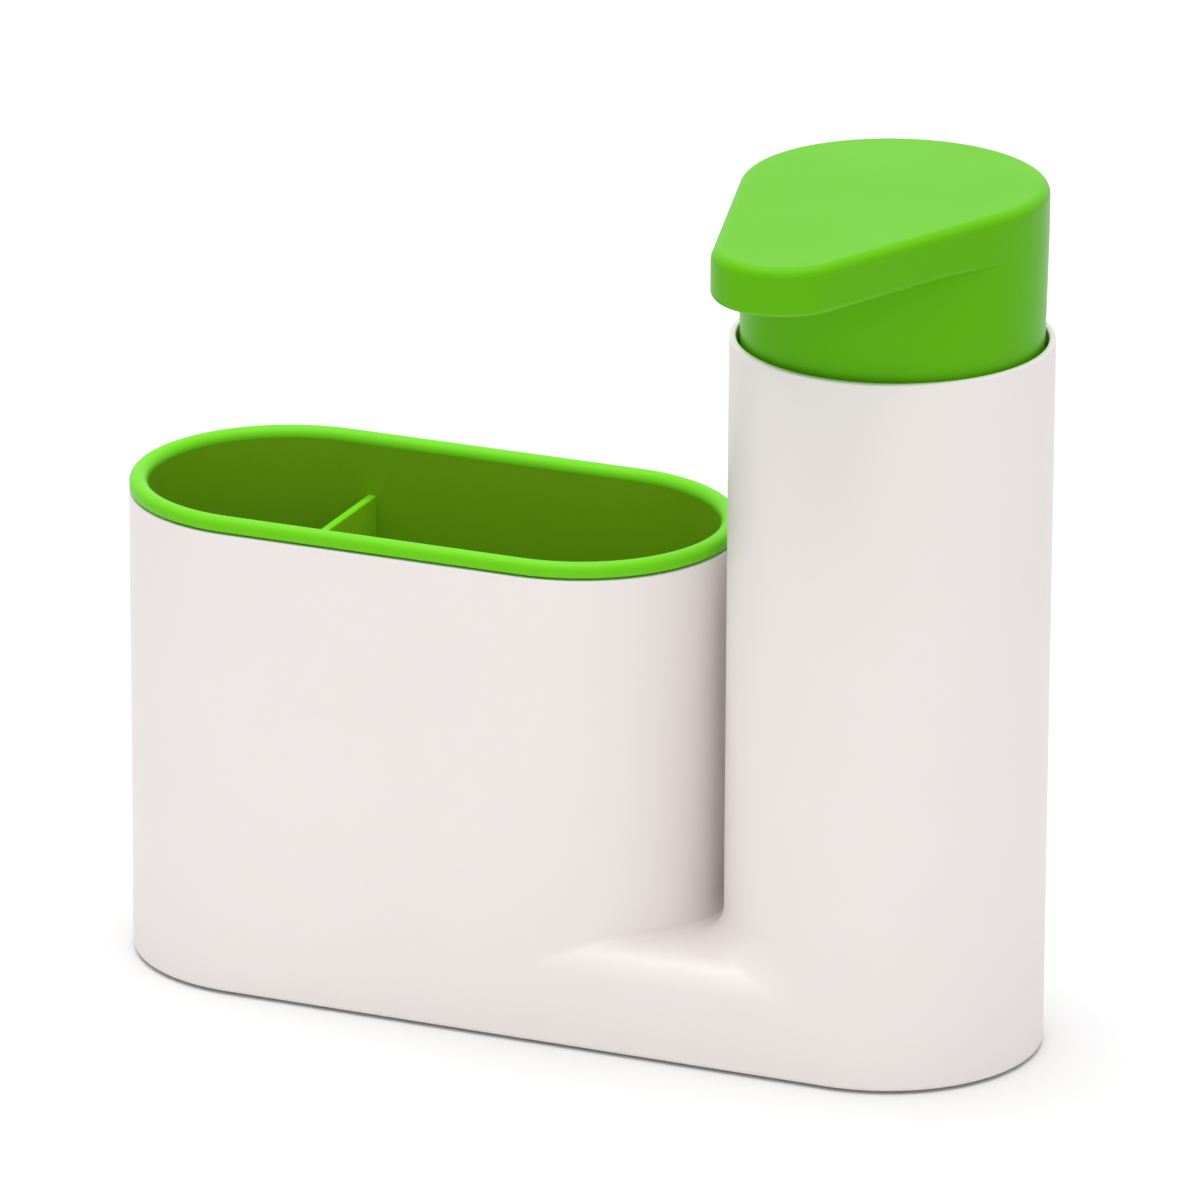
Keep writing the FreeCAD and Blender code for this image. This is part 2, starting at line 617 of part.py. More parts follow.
def pump_chaplet():
    """Guide cap: closes the cylinder, guides the stem and keeps the collar on."""
    hole = "stem_radius + slide_fit"
    turned("pump_chaplet", [
        (hole, "chaplet_low"), ("cylinder_bore", "chaplet_low"), ("cylinder_bore", "flange_top"),
        ("chaplet_neck_radius", "flange_top"), ("chaplet_neck_radius", "chaplet_seat"),
        ("chaplet_head_radius", "chaplet_seat"), ("chaplet_head_radius", "chaplet_up"), (hole, "chaplet_up")])


def pump_stem():
    """Hollow stem with a stop ring and two cross ports over the piston seat's plug."""
    body = turned("pump_stem", [
        ("stem_bore", "seat_up"), ("stem_radius", "seat_up"), ("stem_radius", "ring_low"),
        ("stem_ring_radius", "ring_low"), ("stem_ring_radius", "ring_up"), ("stem_radius", "ring_up"),
        ("stem_radius", "stem_up"), ("stem_bore", "stem_up")], "spout_turn")
    ports = new_sketch(body, "ports", "XZ_Plane")
    circle(ports, "port_radius", "0", "seat_up + seat_plug + 2 * port_radius")
    cut(body, ports, "2 * stem_ring_radius", both_ways=True)


def pump_piston():
    """Piston with two sealing lands, free to slip a little on the stem."""
    inner = "stem_radius + slide_fit"
    land = "cylinder_bore - slide_fit"
    waist = "cylinder_bore - slide_fit - piston_waist"
    slope = "piston_land + piston_waist / 2"
    turned("pump_piston", [
        (inner, "piston_low"), (land, "piston_low"), (land, "piston_low + piston_land"),
        (waist, f"piston_low + {slope}"), (waist, f"piston_up - ({slope})"),
        (land, "piston_up - piston_land"), (land, "piston_up"), (inner, "piston_up")], "spout_turn")


def piston_seat():
    """Plug in the stem's lower end; its flange closes the piston and bears on the spring."""
    turned("piston_seat", [
        ("0", "seat_low"), ("seat_radius", "seat_low"), ("seat_radius", "seat_up"), ("stem_bore", "seat_up"),
        ("stem_bore", "seat_up + seat_plug"), ("0", "seat_up + seat_plug")], "spout_turn")


def arc_between(start, heading, end):
    """Arc that leaves one point along a heading and ends at another point."""
    chord = end - start
    half_angle = heading.getAngle(chord)
    side = heading - chord * (heading.dot(chord) / chord.dot(chord))
    sagitta = chord.Length / 2 * math.tan(half_angle / 2)
    return Part.Arc(start, start + chord / 2 + side.normalize() * sagitta, end).toShape()


def biarc(start, start_heading, end, end_heading):
    """Two arcs that join two points and keep both headings."""
    span = end - start
    both = start_heading + end_heading
    spread = 2 * (1 - start_heading.dot(end_heading))
    along = span.dot(both)
    reach = (math.sqrt(along * along + spread * span.dot(span)) - along) / spread
    middle = (start + start_heading * reach + end - end_heading * reach) / 2
    second = arc_between(end, end_heading * -1, middle)
    return [arc_between(start, start_heading, middle), second]


def return_spring():
    """Compression spring between the cylinder's ledge and the piston seat."""
    coil = size("coil_radius")
    wire = size("wire_radius")
    low = size("ledge + wire_radius + spring_gap")
    high = size("seat_low - wire_radius - spring_gap")
    steps = SPRING_TURNS * 4
    climb = (high - low) / (SPRING_TURNS * 2 * math.pi)

    def spot(step):
        angle = step * math.pi / 2
        return Vector(coil * math.cos(angle), coil * math.sin(angle), low + climb * angle)

    def heading(step):
        angle = step * math.pi / 2
        return Vector(-coil * math.sin(angle), coil * math.cos(angle), climb).normalize()

    edges = []
    for step in range(steps):
        edges += biarc(spot(step), heading(step), spot(step + 1), heading(step + 1))
    path = Part.Wire(Part.__sortEdges__(edges))
    section = Part.Wire([Part.Circle(spot(0), heading(0), wire).toShape()])
    spring = doc.addObject("Part::Feature", "return_spring")
    spring.Shape = Part.Solid(path.makePipeShell([section], True, False).Shells[0])
    spring.Placement = FreeCAD.Placement(Vector(size("tower_x"), 0, 0), FreeCAD.Rotation())
    expected = math.pi * wire * wire * path.Length
    print("spring volume over wire section times length:", round(spring.Shape.Volume / expected, 4))
    print("spring least gap to itself:", round((high - low) / SPRING_TURNS - 2 * wire, 2))
    pieces.append(spring)


def pump_head():
    """Green head: teardrop cap with a rounded top, and a tapered skirt that runs in the tower."""
    body = new_body("pump_head", "tower_x", "spout_turn")
    cap = new_sketch(body, "cap", height="nose_low")
    teardrop(cap, "head_radius", "nose_radius")
    pad(body, cap, "nose_thickness")
    round_edges(body, "top", "head_top_round", at_level("overall_height"))
    round_edges(body, "nose_edge", "nose_edge_round", at_level("nose_low"))
    skirt = new_sketch(body, "skirt", "XZ_Plane")
    polygon(skirt, [
        ("0", "skirt_low"), ("skirt_radius", "skirt_low"), ("head_radius", "nose_low"),
        ("head_radius", "nose_low + 2 * nose_edge_round"), ("0", "nose_low + 2 * nose_edge_round")])
    turn(body, skirt)
    inside = new_sketch(body, "inside", height="skirt_low")
    circle(inside, "skirt_inner")
    cut(body, inside, "ceiling - skirt_low", upward=True)
    nose = new_sketch(body, "nose_inside", height="nose_low")
    teardrop(nose, "skirt_inner", "nose_radius - head_wall")
    cut(body, nose, "ceiling - nose_low", upward=True)


def nose_cover():
    """Plate that closes the nose from below and rests on the skirt's wall."""
    body = new_body("nose_cover", "tower_x", "spout_turn")
    outline = new_sketch(body, "outline", height="nose_low")
    teardrop(outline, "skirt_inner - cover_clearance", "nose_radius - head_wall - cover_clearance")
    pad(body, outline, "cover_thickness")
    bearing = new_sketch(body, "bearing", height="nose_low")
    circle(bearing, "head_radius - cover_bearing")
    cut(body, bearing, "cover_thickness", upward=True)
    hole = new_sketch(body, "hole", height="nose_low")
    circle(hole, "nozzle_radius", "0", "-outlet_reach")
    cut(body, hole, "cover_thickness", upward=True)


def head_core():
    """Stem socket with a centring web and the channel that leads to the outlet."""
    body = new_body("head_core", "tower_x", "spout_turn")
    section = new_sketch(body, "section", "XZ_Plane")
    rim = "skirt_inner - web_clearance"
    polygon(section, [
        ("0", "core_low"), ("socket_radius", "core_low"), ("socket_radius", "web_up - web_thickness"),
        (rim, "web_up - web_thickness"), (rim, "web_up"), ("socket_radius", "web_up"),
        ("socket_radius", "core_up"), ("0", "core_up")])
    turn(body, section)
    channel = new_sketch(body, "channel", "XZ_Plane")
    circle(channel, "channel_radius", "0", "channel_z")
    pad(body, channel, "outlet_reach")
    block = new_sketch(body, "block", height="block_low")
    circle(block, "outlet_block_radius", "0", "-outlet_reach")
    pad(body, block, "core_up - block_low")
    duct = new_sketch(body, "duct", "XZ_Plane")
    circle(duct, "channel_bore", "0", "channel_z")
    cut(body, duct, "outlet_reach", upward=True)
    rise = new_sketch(body, "rise", height="core_low")
    circle(rise, "stem_bore")
    cut(body, rise, "channel_z - core_low", upward=True)
    socket = new_sketch(body, "socket", height="core_low")
    circle(socket, "stem_radius")
    cut(body, socket, "socket_depth", upward=True)
    outlet = new_sketch(body, "outlet", height="block_low")
    circle(outlet, "nozzle_bore", "0", "-outlet_reach")
    cut(body, outlet, "channel_z - block_low", upward=True)
    seat = new_sketch(body, "nozzle_seat", height="block_low")
    circle(seat, "nozzle_radius", "0", "-outlet_reach")
    cut(body, seat, "nozzle_tail", upward=True)
    vents = new_sketch(body, "vents", height="web_up - web_thickness")
    circle(vents, "web_hole_radius", "(socket_radius + skirt_inner) / 2")
    vent = cut(body, vents, "web_thickness", upward=True)
    repeat_round(body, vent, vents, WEB_HOLES)


def spout_nozzle():
    """Flanged outlet under the nose, pressed through the cover into the channel's end."""
    body = new_body("spout_nozzle", "tower_x", "spout_turn")
    flange = new_sketch(body, "flange", height="nose_low - nozzle_flange")
    circle(flange, "nozzle_flange_radius", "0", "-outlet_reach")
    pad(body, flange, "nozzle_flange")
    tail = new_sketch(body, "tail", height="nose_low - nozzle_flange")
    circle(tail, "nozzle_radius", "0", "-outlet_reach")
    pad(body, tail, "nozzle_flange + cover_thickness + core_gap + nozzle_tail")
    bore = new_sketch(body, "bore", height="nose_low - nozzle_flange")
    circle(bore, "nozzle_bore", "0", "-outlet_reach")
    cut(body, bore, "nozzle_flange + cover_thickness + core_gap + nozzle_tail", upward=True)


def check_document():
    """Stop if any object failed or any piece has no sound solid."""
    for item in doc.Objects:
        if "Invalid" in item.State or "Error" in item.State:
            raise RuntimeError(f"{item.Label} failed: {item.State}")
    for piece in pieces:
        shape = piece.Shape
        if shape.isNull() or not shape.isValid() or not shape.Solids:
            raise RuntimeError(f"{piece.Label} has no sound solid")


def main():
    fill_sheet()
    for make in (body_shell, base_plate, base_pad, base_screws, caddy_liner, soap_bottle, pump_collar,
                 neck_gasket, pump_cylinder, dip_tube, check_ball, pump_chaplet, pump_stem, pump_piston,
                 piston_seat, return_spring, pump_head, nose_cover, head_core, spout_nozzle):
        make()
    doc.recompute()
    check_document()
    os.makedirs("parts", exist_ok=True)
    for piece in pieces:
        piece.Shape.exportStep(f"parts/{piece.Label}.step")
        print(f"{piece.Label}: {len(piece.Shape.Solids)} solid, {piece.Shape.Volume / 1000:.2f} cm3")


main()
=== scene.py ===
import math

import bmesh
import bpy
from mathutils import Matrix, Vector


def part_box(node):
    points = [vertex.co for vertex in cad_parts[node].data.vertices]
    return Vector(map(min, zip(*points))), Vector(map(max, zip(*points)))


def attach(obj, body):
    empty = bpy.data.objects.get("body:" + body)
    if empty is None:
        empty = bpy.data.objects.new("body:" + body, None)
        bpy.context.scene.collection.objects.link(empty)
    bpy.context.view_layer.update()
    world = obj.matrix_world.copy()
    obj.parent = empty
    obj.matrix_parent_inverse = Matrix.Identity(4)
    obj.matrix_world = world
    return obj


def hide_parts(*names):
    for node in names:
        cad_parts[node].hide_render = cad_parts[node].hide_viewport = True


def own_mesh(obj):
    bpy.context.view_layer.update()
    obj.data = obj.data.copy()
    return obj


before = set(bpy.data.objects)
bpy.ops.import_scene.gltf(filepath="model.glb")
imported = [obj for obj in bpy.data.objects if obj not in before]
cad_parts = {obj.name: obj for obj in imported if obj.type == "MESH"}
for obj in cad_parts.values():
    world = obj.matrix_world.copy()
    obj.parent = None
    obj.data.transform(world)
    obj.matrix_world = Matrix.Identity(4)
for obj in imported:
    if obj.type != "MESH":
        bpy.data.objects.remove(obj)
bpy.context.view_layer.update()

MM = 0.001
QUARTER = math.pi / 2
SEAM = 0.002 * MM
SOFTEST_CORNER = math.radians(38)

# How finely round shapes are divided
ROUND_STEPS = 7
ARC_STEPS = 72
FLANK_STEPS = 16
DRAIN_SIDES = 28
STUD_SIDES = 8
RIB_SIDES = 10
RIB_STEPS = 12
BAR_SIDES = 12

# Places read from the frame
body_low, body_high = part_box("body_shell")
plate_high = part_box("base_plate")[1]
screws_low, screws_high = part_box("base_screws")
pad_low, pad_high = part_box("base_pad")
liner_low, liner_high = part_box("caddy_liner")
head_low, head_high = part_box("pump_head")
bottle_low, bottle_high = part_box("soap_bottle")
collar_low, collar_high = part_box("pump_collar")
gasket_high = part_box("neck_gasket")[1]
spring_low, spring_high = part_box("return_spring")
END_RADIUS = body_high.y
TOWER_X = body_high.x - END_RADIUS
CADDY_END_X = liner_high.x - liner_high.y
AXIS = Vector((TOWER_X, 0, 0))

# Sizes that several pieces share
SHELL_WALL = 1.4 * MM
BORE_RADIUS = END_RADIUS - SHELL_WALL
LIP_HEIGHT = 3.4 * MM
CADDY_TOP = liner_high.z - LIP_HEIGHT
SPOUT_TURN = math.radians(-4.0)


# Lines and meshes

def spread(start, end, steps):
    """Evenly spaced numbers from start to end, both included."""
    return [start + (end - start) * i / steps for i in range(steps + 1)]


def rounded(corners):
    """Line through (across, up, rounding) corners, with an arc at each rounded one."""
    line = []
    for i, (across, up, radius) in enumerate(corners):
        here = Vector((across, up))
        if not radius:
            line.append(here)
            continue
        back = (Vector(corners[i - 1][:2]) - here).normalized()
        ahead = (Vector(corners[(i + 1) % len(corners)][:2]) - here).normalized()
        half = back.angle(ahead) / 2
        middle = here + (back + ahead).normalized() * radius / math.sin(half)
        start = here + back * radius / math.tan(half) - middle
        end = here + ahead * radius / math.tan(half) - middle
        sweep = -start.angle_signed(end)
        line += [middle + Matrix.Rotation(turn, 2) @ start for turn in spread(0, sweep, ROUND_STEPS)]
    return line


def stadium(right_x, radius, height):
    """Level outline at one distance from a middle line that ends at the caddy's left and at right_x."""
    right = [(right_x, angle) for angle in spread(-QUARTER, QUARTER, ARC_STEPS)]
    left = [(-TOWER_X, angle) for angle in spread(QUARTER, 3 * QUARTER, ARC_STEPS)]
    return [(middle + radius * math.cos(angle), radius * math.sin(angle), height)
            for middle, angle in right + left]


def circle(radius, height, middle=AXIS, steps=2 * ARC_STEPS):
    """Level circle, by default about the tower's axis."""
    angles = spread(0, 4 * QUARTER, steps)[:-1]
    return [(middle.x + radius * math.cos(a), middle.y + radius * math.sin(a), height) for a in angles]


def skin(bm, rows, closed=False):
    """Quads between rows of points. Closed rows have their ends joined."""
    made = [[bm.verts.new(point) for point in row] for row in rows]
    for low, high in zip(made, made[1:]):
        for i in range(len(low) if closed else len(low) - 1):
            j = (i + 1) % len(low)
            bm.faces.new((low[i], low[j], high[j], high[i]))


def fill(bm, *outlines):
    """One level face inside each outline."""
    for outline in outlines:
        bm.faces.new([bm.verts.new(point) for point in outline])


def lathe(bm, corners, middle=AXIS, hollow=False, steps=2 * ARC_STEPS):
    """Solid turned about an upright axis from (radius, height, rounding) corners."""
    line = rounded(corners)
    rows = [circle(spot.x, spot.y, middle, steps) for spot in (line + line[:1] if hollow else line)]
    skin(bm, rows, closed=True)


def mould(bm, name, material):
    """Object of a mesh, with its seams closed and its faces outwards."""
    bmesh.ops.remove_doubles(bm, verts=bm.verts, dist=SEAM)
    bmesh.ops.recalc_face_normals(bm, faces=bm.faces)
    mesh = bpy.data.meshes.new(name)
    bm.to_mesh(mesh)
    bm.free()
    mesh.materials.append(material)
    piece = bpy.data.objects.new(name, mesh)
    bpy.context.scene.collection.objects.link(piece)
    return piece


def set_on(piece, body, slot, *nodes):
    """Soften a piece's shading and set it on its body, in place of the CAD nodes that it stands for."""
    mesh = piece.data
    mesh.polygons.foreach_set("use_smooth", [True] * len(mesh.polygons))
    mesh.set_sharp_from_angle(angle=SOFTEST_CORNER)
    shading = piece.modifiers.new("flat_faces_stay_flat", "WEIGHTED_NORMAL")
    shading.keep_sharp = True
    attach(piece, body)
    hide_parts(*nodes)


# Node trees

def feed(tree, node, sockets):
    """Fill a node's sockets with values or links."""
    for name, value in sockets.items():
        links = value if isinstance(value, list) else [value]
        if isinstance(links[0], bpy.types.NodeSocket):
            for link in links:
                tree.links.new(link, node.inputs[name])
        else:
            node.inputs[name].default_value = value


def add(tree, kind, sockets=None, **settings):
    """Add one node with its settings, and fill its sockets."""
    node = tree.nodes.new(kind)
    for name, value in settings.items():
        setattr(node, name, value)
    feed(tree, node, sockets or {})
    return node


def start_tree(name, **sizes):
    """Geometry tree that takes a piece, a material and named sizes, and those inputs."""
    tree = bpy.data.node_groups.new(name, "GeometryNodeTree")
    for size, kind in {"piece": "Geometry", "material": "Material", **sizes}.items():
        tree.interface.new_socket(size, in_out="INPUT", socket_type="NodeSocket" + kind)
    tree.interface.new_socket("piece", in_out="OUTPUT", socket_type="NodeSocketGeometry")
    return tree, add(tree, "NodeGroupInput").outputs


def end_tree(tree, given, *made):
    """Join what a tree has made, turn its copies into plain mesh and give it the material."""
    joined = add(tree, "GeometryNodeJoinGeometry", {"Geometry": list(made)})
    plain = add(tree, "GeometryNodeRealizeInstances", {"Geometry": joined.outputs["Geometry"]})
    coated = add(tree, "GeometryNodeSetMaterial", {"Geometry": plain.outputs["Geometry"],
                                                   "Material": given["material"]})
    add(tree, "NodeGroupOutput", {"piece": coated.outputs["Geometry"]})
    return tree


def grow(piece, tree, **sizes):
    """Run a geometry tree on a piece and keep what it gives as a plain mesh."""
    modifier = piece.modifiers.new(tree.name, "NODES")
    modifier.node_group = tree
    sizes["material"] = piece.data.materials[0]
    for socket in tree.interface.items_tree:
        if socket.in_out == "INPUT" and socket.name in sizes:
            modifier[socket.identifier] = sizes[socket.name]
    evaluated = piece.evaluated_get(bpy.context.evaluated_depsgraph_get())
    mesh = bpy.data.meshes.new_from_object(evaluated)
    piece.modifiers.remove(modifier)
    piece.data = mesh


def grid_points(tree, given):
    """Points in columns and rows, a pitch apart."""
    sides = []
    for count in ("columns", "rows"):
        gaps = add(tree, "ShaderNodeMath", {0: given[count], 1: 1.0}, operation="SUBTRACT").outputs[0]
        side = add(tree, "ShaderNodeMath", {0: gaps, 1: given["pitch"]}, operation="MULTIPLY").outputs[0]
        sides.append(side)
    grid = add(tree, "GeometryNodeMeshGrid", {"Size X": sides[0], "Size Y": sides[1],
                                              "Vertices X": given["columns"], "Vertices Y": given["rows"]})
    return grid.outputs["Mesh"]


def eased_ends(tree, share):
    """Thickness along a curve: full in the middle and rounded off over a share of it at each end."""
    thinnest = 0.02
    root = 0.5
    along = add(tree, "GeometryNodeSplineParameter").outputs["Factor"]
    left = add(tree, "ShaderNodeMath", {0: 1.0, 1: along}, operation="SUBTRACT").outputs[0]
    nearest = add(tree, "ShaderNodeMath", {0: along, 1: left}, operation="MINIMUM").outputs[0]
    rise = add(tree, "ShaderNodeMath", {0: nearest, 1: share}, operation="DIVIDE").outputs[0]
    kept = add(tree, "ShaderNodeClamp", {"Value": rise, "Min": thinnest, "Max": 1.0}).outputs[0]
    return add(tree, "ShaderNodeMath", {0: kept, 1: root}, operation="POWER").outputs[0]


def drain_tree():
    """Drain holes in rows, cut through a floor and wider at their mouths, whose middle is at place."""
    tree, given = start_tree("drains", columns="Int", rows="Int", pitch="Float", drain="Float", mouth="Float",
                             depth="Float", place="Vector")
    wide = add(tree, "ShaderNodeMath", {0: given["drain"], 1: given["mouth"]}, operation="ADD").outputs[0]
    bore = add(tree, "GeometryNodeMeshCylinder", {"Vertices": DRAIN_SIDES, "Radius": given["drain"],
                                                  "Depth": given["depth"]})
    mouth = add(tree, "GeometryNodeMeshCone", {"Vertices": DRAIN_SIDES, "Radius Top": wide,
                                               "Radius Bottom": given["drain"], "Depth": given["mouth"]})
    cut = given["piece"]
    for cutter in (bore, mouth):
        copies = add(tree, "GeometryNodeInstanceOnPoints", {"Points": grid_points(tree, given),
                                                            "Instance": cutter.outputs["Mesh"]})
        placed = add(tree, "GeometryNodeTransform", {"Geometry": copies.outputs["Instances"],
                                                     "Translation": given["place"]})
        cut = add(tree, "GeometryNodeMeshBoolean", {"Mesh 1": cut, "Mesh 2": placed.outputs["Geometry"]},
                  operation="DIFFERENCE", solver="EXACT").outputs["Mesh"]
    return end_tree(tree, given, cut)


def stud_tree():
    """Low round studs in rows under a sheet, as far as its rounded ends allow."""
    tree, given = start_tree("grip_studs", columns="Int", rows="Int", pitch="Float", half="Float",
                             reach="Float", stud="Float", squat="Vector", place="Vector")
    spot = add(tree, "ShaderNodeSeparateXYZ", {0: add(tree, "GeometryNodeInputPosition").outputs[0]}).outputs
    along = add(tree, "ShaderNodeMath", {0: spot["X"]}, operation="ABSOLUTE").outputs[0]
    past = add(tree, "ShaderNodeMath", {0: along, 1: given["half"]}, operation="SUBTRACT").outputs[0]
    out = add(tree, "ShaderNodeMath", {0: past, 1: 0.0}, operation="MAXIMUM").outputs[0]
    offset = add(tree, "ShaderNodeCombineXYZ", {"X": out, "Y": spot["Y"]}).outputs[0]
    distance = add(tree, "ShaderNodeVectorMath", {0: offset}, operation="LENGTH").outputs["Value"]
    inside = add(tree, "FunctionNodeCompare", {"A": distance, "B": given["reach"]}, operation="LESS_THAN")
    stud = add(tree, "GeometryNodeMeshUVSphere", {"Segments": STUD_SIDES, "Rings": STUD_SIDES // 2,
                                                  "Radius": given["stud"]})
    studs = add(tree, "GeometryNodeInstanceOnPoints", {
        "Points": grid_points(tree, given), "Selection": inside.outputs[0], "Instance": stud.outputs["Mesh"],
        "Scale": given["squat"]})
    placed = add(tree, "GeometryNodeTransform", {"Geometry": studs.outputs["Instances"],
                                                 "Translation": given["place"]})
    return end_tree(tree, given, given["piece"], placed.outputs["Geometry"])


def rib_tree():
    """Upright ribs with rounded ends, evenly round a cap."""
    end_share = 0.1
    tree, given = start_tree("collar_ribs", count="Int", ring="Float", rib="Float", length="Vector",
                             place="Vector")
    ring = add(tree, "GeometryNodeMeshCircle", {"Vertices": given["count"], "Radius": given["ring"]})
    line = add(tree, "GeometryNodeCurvePrimitiveLine", {"End": given["length"]})
    steps = add(tree, "GeometryNodeResampleCurve", {"Curve": line.outputs["Curve"], "Count": RIB_STEPS})
    across = add(tree, "GeometryNodeCurvePrimitiveCircle", {"Resolution": RIB_SIDES, "Radius": given["rib"]})
    rib = add(tree, "GeometryNodeCurveToMesh", {
        "Curve": steps.outputs["Curve"], "Profile Curve": across.outputs["Curve"],
        "Scale": eased_ends(tree, end_share), "Fill Caps": True})
    ribs = add(tree, "GeometryNodeInstanceOnPoints", {"Points": ring.outputs["Mesh"],
                                                      "Instance": rib.outputs["Mesh"]})
    placed = add(tree, "GeometryNodeTransform", {"Geometry": ribs.outputs["Instances"],
                                                 "Translation": given["place"]})
    return end_tree(tree, given, given["piece"], placed.outputs["Geometry"])


def winding_tree():
    """Round bar wound about an upright axis, its turns closer at the ends."""
    tree, given = start_tree("winding", turns="Float", coil="Float", rise="Float", bar="Float",
                             closing="Float", easing="Float", place="Vector")
    spiral = add(tree, "GeometryNodeCurveSpiral", {
        "Resolution": ARC_STEPS, "Rotations": given["turns"], "Start Radius": given["coil"],
        "End Radius": given["coil"], "Height": given["rise"]})
    along = add(tree, "GeometryNodeSplineParameter").outputs["Factor"]
    turned = add(tree, "ShaderNodeMath", {0: along, 1: 4 * QUARTER}, operation="MULTIPLY").outputs[0]
    wave = add(tree, "ShaderNodeMath", {0: turned}, operation="SINE").outputs[0]
    shift = add(tree, "ShaderNodeMath", {0: wave, 1: given["closing"]}, operation="MULTIPLY").outputs[0]
    lift = add(tree, "ShaderNodeCombineXYZ", {"Z": shift}).outputs[0]
    closed = add(tree, "GeometryNodeSetPosition", {"Geometry": spiral.outputs["Curve"], "Offset": lift})
    across = add(tree, "GeometryNodeCurvePrimitiveCircle", {"Resolution": BAR_SIDES, "Radius": given["bar"]})
    bar = add(tree, "GeometryNodeCurveToMesh", {
        "Curve": closed.outputs["Geometry"], "Profile Curve": across.outputs["Curve"],
        "Scale": eased_ends(tree, given["easing"]), "Fill Caps": True})
    placed = add(tree, "GeometryNodeTransform", {"Geometry": bar.outputs["Mesh"],
                                                 "Translation": given["place"]})
    return end_tree(tree, given, given["piece"], placed.outputs["Geometry"])


# Pieces of the base

def body_skin(bm, radius, floor, edge, feet, low, caddy, tower):
    """One face of the body's wall: base, caddy and tower, with the notch between them.

    feet are the roundings from the notch's floor up to the caddy and to the tower, which get smaller where
    the notch is too narrow for both. low, caddy and tower are (height, inset) levels going up. Gives the
    lines where the face ends: the lower edge, the caddy's rim and the tower's rim.
    """
    feet_share = 0.98

    def on_arc(middle, angle, level):
        height, inset = level
        return middle + (radius - inset) * math.cos(angle), (radius - inset) * math.sin(angle), height

    def notch_section(angle):
        """Across the notch at one place of its two round walls."""
        y = radius * math.sin(angle)
        left = CADDY_END_X + radius * math.cos(angle)
        right = TOWER_X - radius * math.cos(angle)
        over = min(edge, max(0, abs(y) - radius + edge))
        level = floor - edge + math.sqrt(edge * edge - over * over)
        fit = min(1, feet_share * (right - left) / sum(feet))
        caddy_foot, tower_foot = (foot * fit for foot in feet)
        down = [(left + caddy_foot * (1 - math.cos(a)), y, level + caddy_foot * (1 - math.sin(a)))
                for a in spread(0, QUARTER, ROUND_STEPS)]
        up = [(right - tower_foot * (1 - math.cos(a)), y, level + tower_foot * (1 - math.sin(a)))
              for a in spread(QUARTER, 0, ROUND_STEPS)]
        across = [(x, y, level) for x in spread(left + caddy_foot, right - tower_foot, ROUND_STEPS)]
        return down + across[1:-1] + up

    facing = spread(-QUARTER, QUARTER, ARC_STEPS)
    skin(bm, [[on_arc(CADDY_END_X, a, level) for level in reversed(caddy)] + notch_section(a)
              + [on_arc(TOWER_X, 2 * QUARTER - a, level) for level in tower] for a in facing])
    border = notch_section(QUARTER)
    seams = ((border[0][2], 0), (border[-1][2], 0))
    left_end = [(CADDY_END_X, QUARTER), *((-TOWER_X, a) for a in spread(QUARTER, 3 * QUARTER, ARC_STEPS)),
                (CADDY_END_X, 3 * QUARTER)]
    right_end = [(TOWER_X, a) for a in facing]
    for outline, seam, levels in zip((left_end, right_end), seams, (caddy, tower)):
        skin(bm, [[on_arc(*spot, level) for spot in outline] for level in [*low, seam, *levels]])
    sides = {}
    for side in (-1, 1):
        border = notch_section(side * QUARTER)
        rows = [[(x, side * (radius - inset), height) for x, *_ in border] for height, inset in low]
        skin(bm, [*rows, border])
        sides[side] = rows[0]
    lower_edge = ([on_arc(*spot, low[0]) for spot in left_end] + sides[-1]
                  + [on_arc(*spot, low[0]) for spot in right_end] + sides[1][::-1])
    caddy_rim = ([on_arc(*spot, caddy[-1]) for spot in left_end]
                 + [on_arc(CADDY_END_X, a, caddy[-1]) for a in facing])
    tower_rim = ([on_arc(*spot, tower[-1]) for spot in right_end]
                 + [on_arc(TOWER_X, 2 * QUARTER - a, tower[-1]) for a in reversed(facing)])
    return lower_edge, caddy_rim, tower_rim


def body_moulding(material):
    """White body: base, caddy wall and tower in one moulding, with screw bosses inside the base."""
    notch_floor = 22.4 * MM
    notch_wall = 2.2 * MM
    edge_round = 6.2 * MM
    feet = (1.2 * MM, 6.5 * MM)
    lower_round = 1.0 * MM
    rim_round = 0.45 * MM
    base_level = (12 * MM, 0)
    wall_levels = [(40 * MM, 0), (70 * MM, 0)]
    quarter = spread(0, QUARTER, ROUND_STEPS)

    def rim(top, sign):
        return [(top - rim_round * (1 - math.sin(a)), sign * rim_round * (1 - math.cos(a))) for a in quarter]

    lower = [(body_low.z + lower_round * (1 - math.cos(a)), lower_round * (1 - math.sin(a))) for a in quarter]
    bm = bmesh.new()
    outside = body_skin(bm, END_RADIUS, notch_floor, edge_round, feet, [*lower, base_level],
                        [*wall_levels, *rim(CADDY_TOP, 1)], [*wall_levels, *rim(body_high.z, 1)])
    inside = body_skin(bm, BORE_RADIUS, notch_floor - notch_wall, edge_round - SHELL_WALL,
                       (notch_wall, notch_wall), [(body_low.z, 0), base_level],
                       [*wall_levels, *rim(CADDY_TOP, -1)], [*wall_levels, *rim(body_high.z, -1)])
    for outer_line, inner_line in zip(outside, inside):
        skin(bm, [outer_line, inner_line], closed=True)
    screw_bosses(bm)
    return mould(bm, "body_moulding", material)


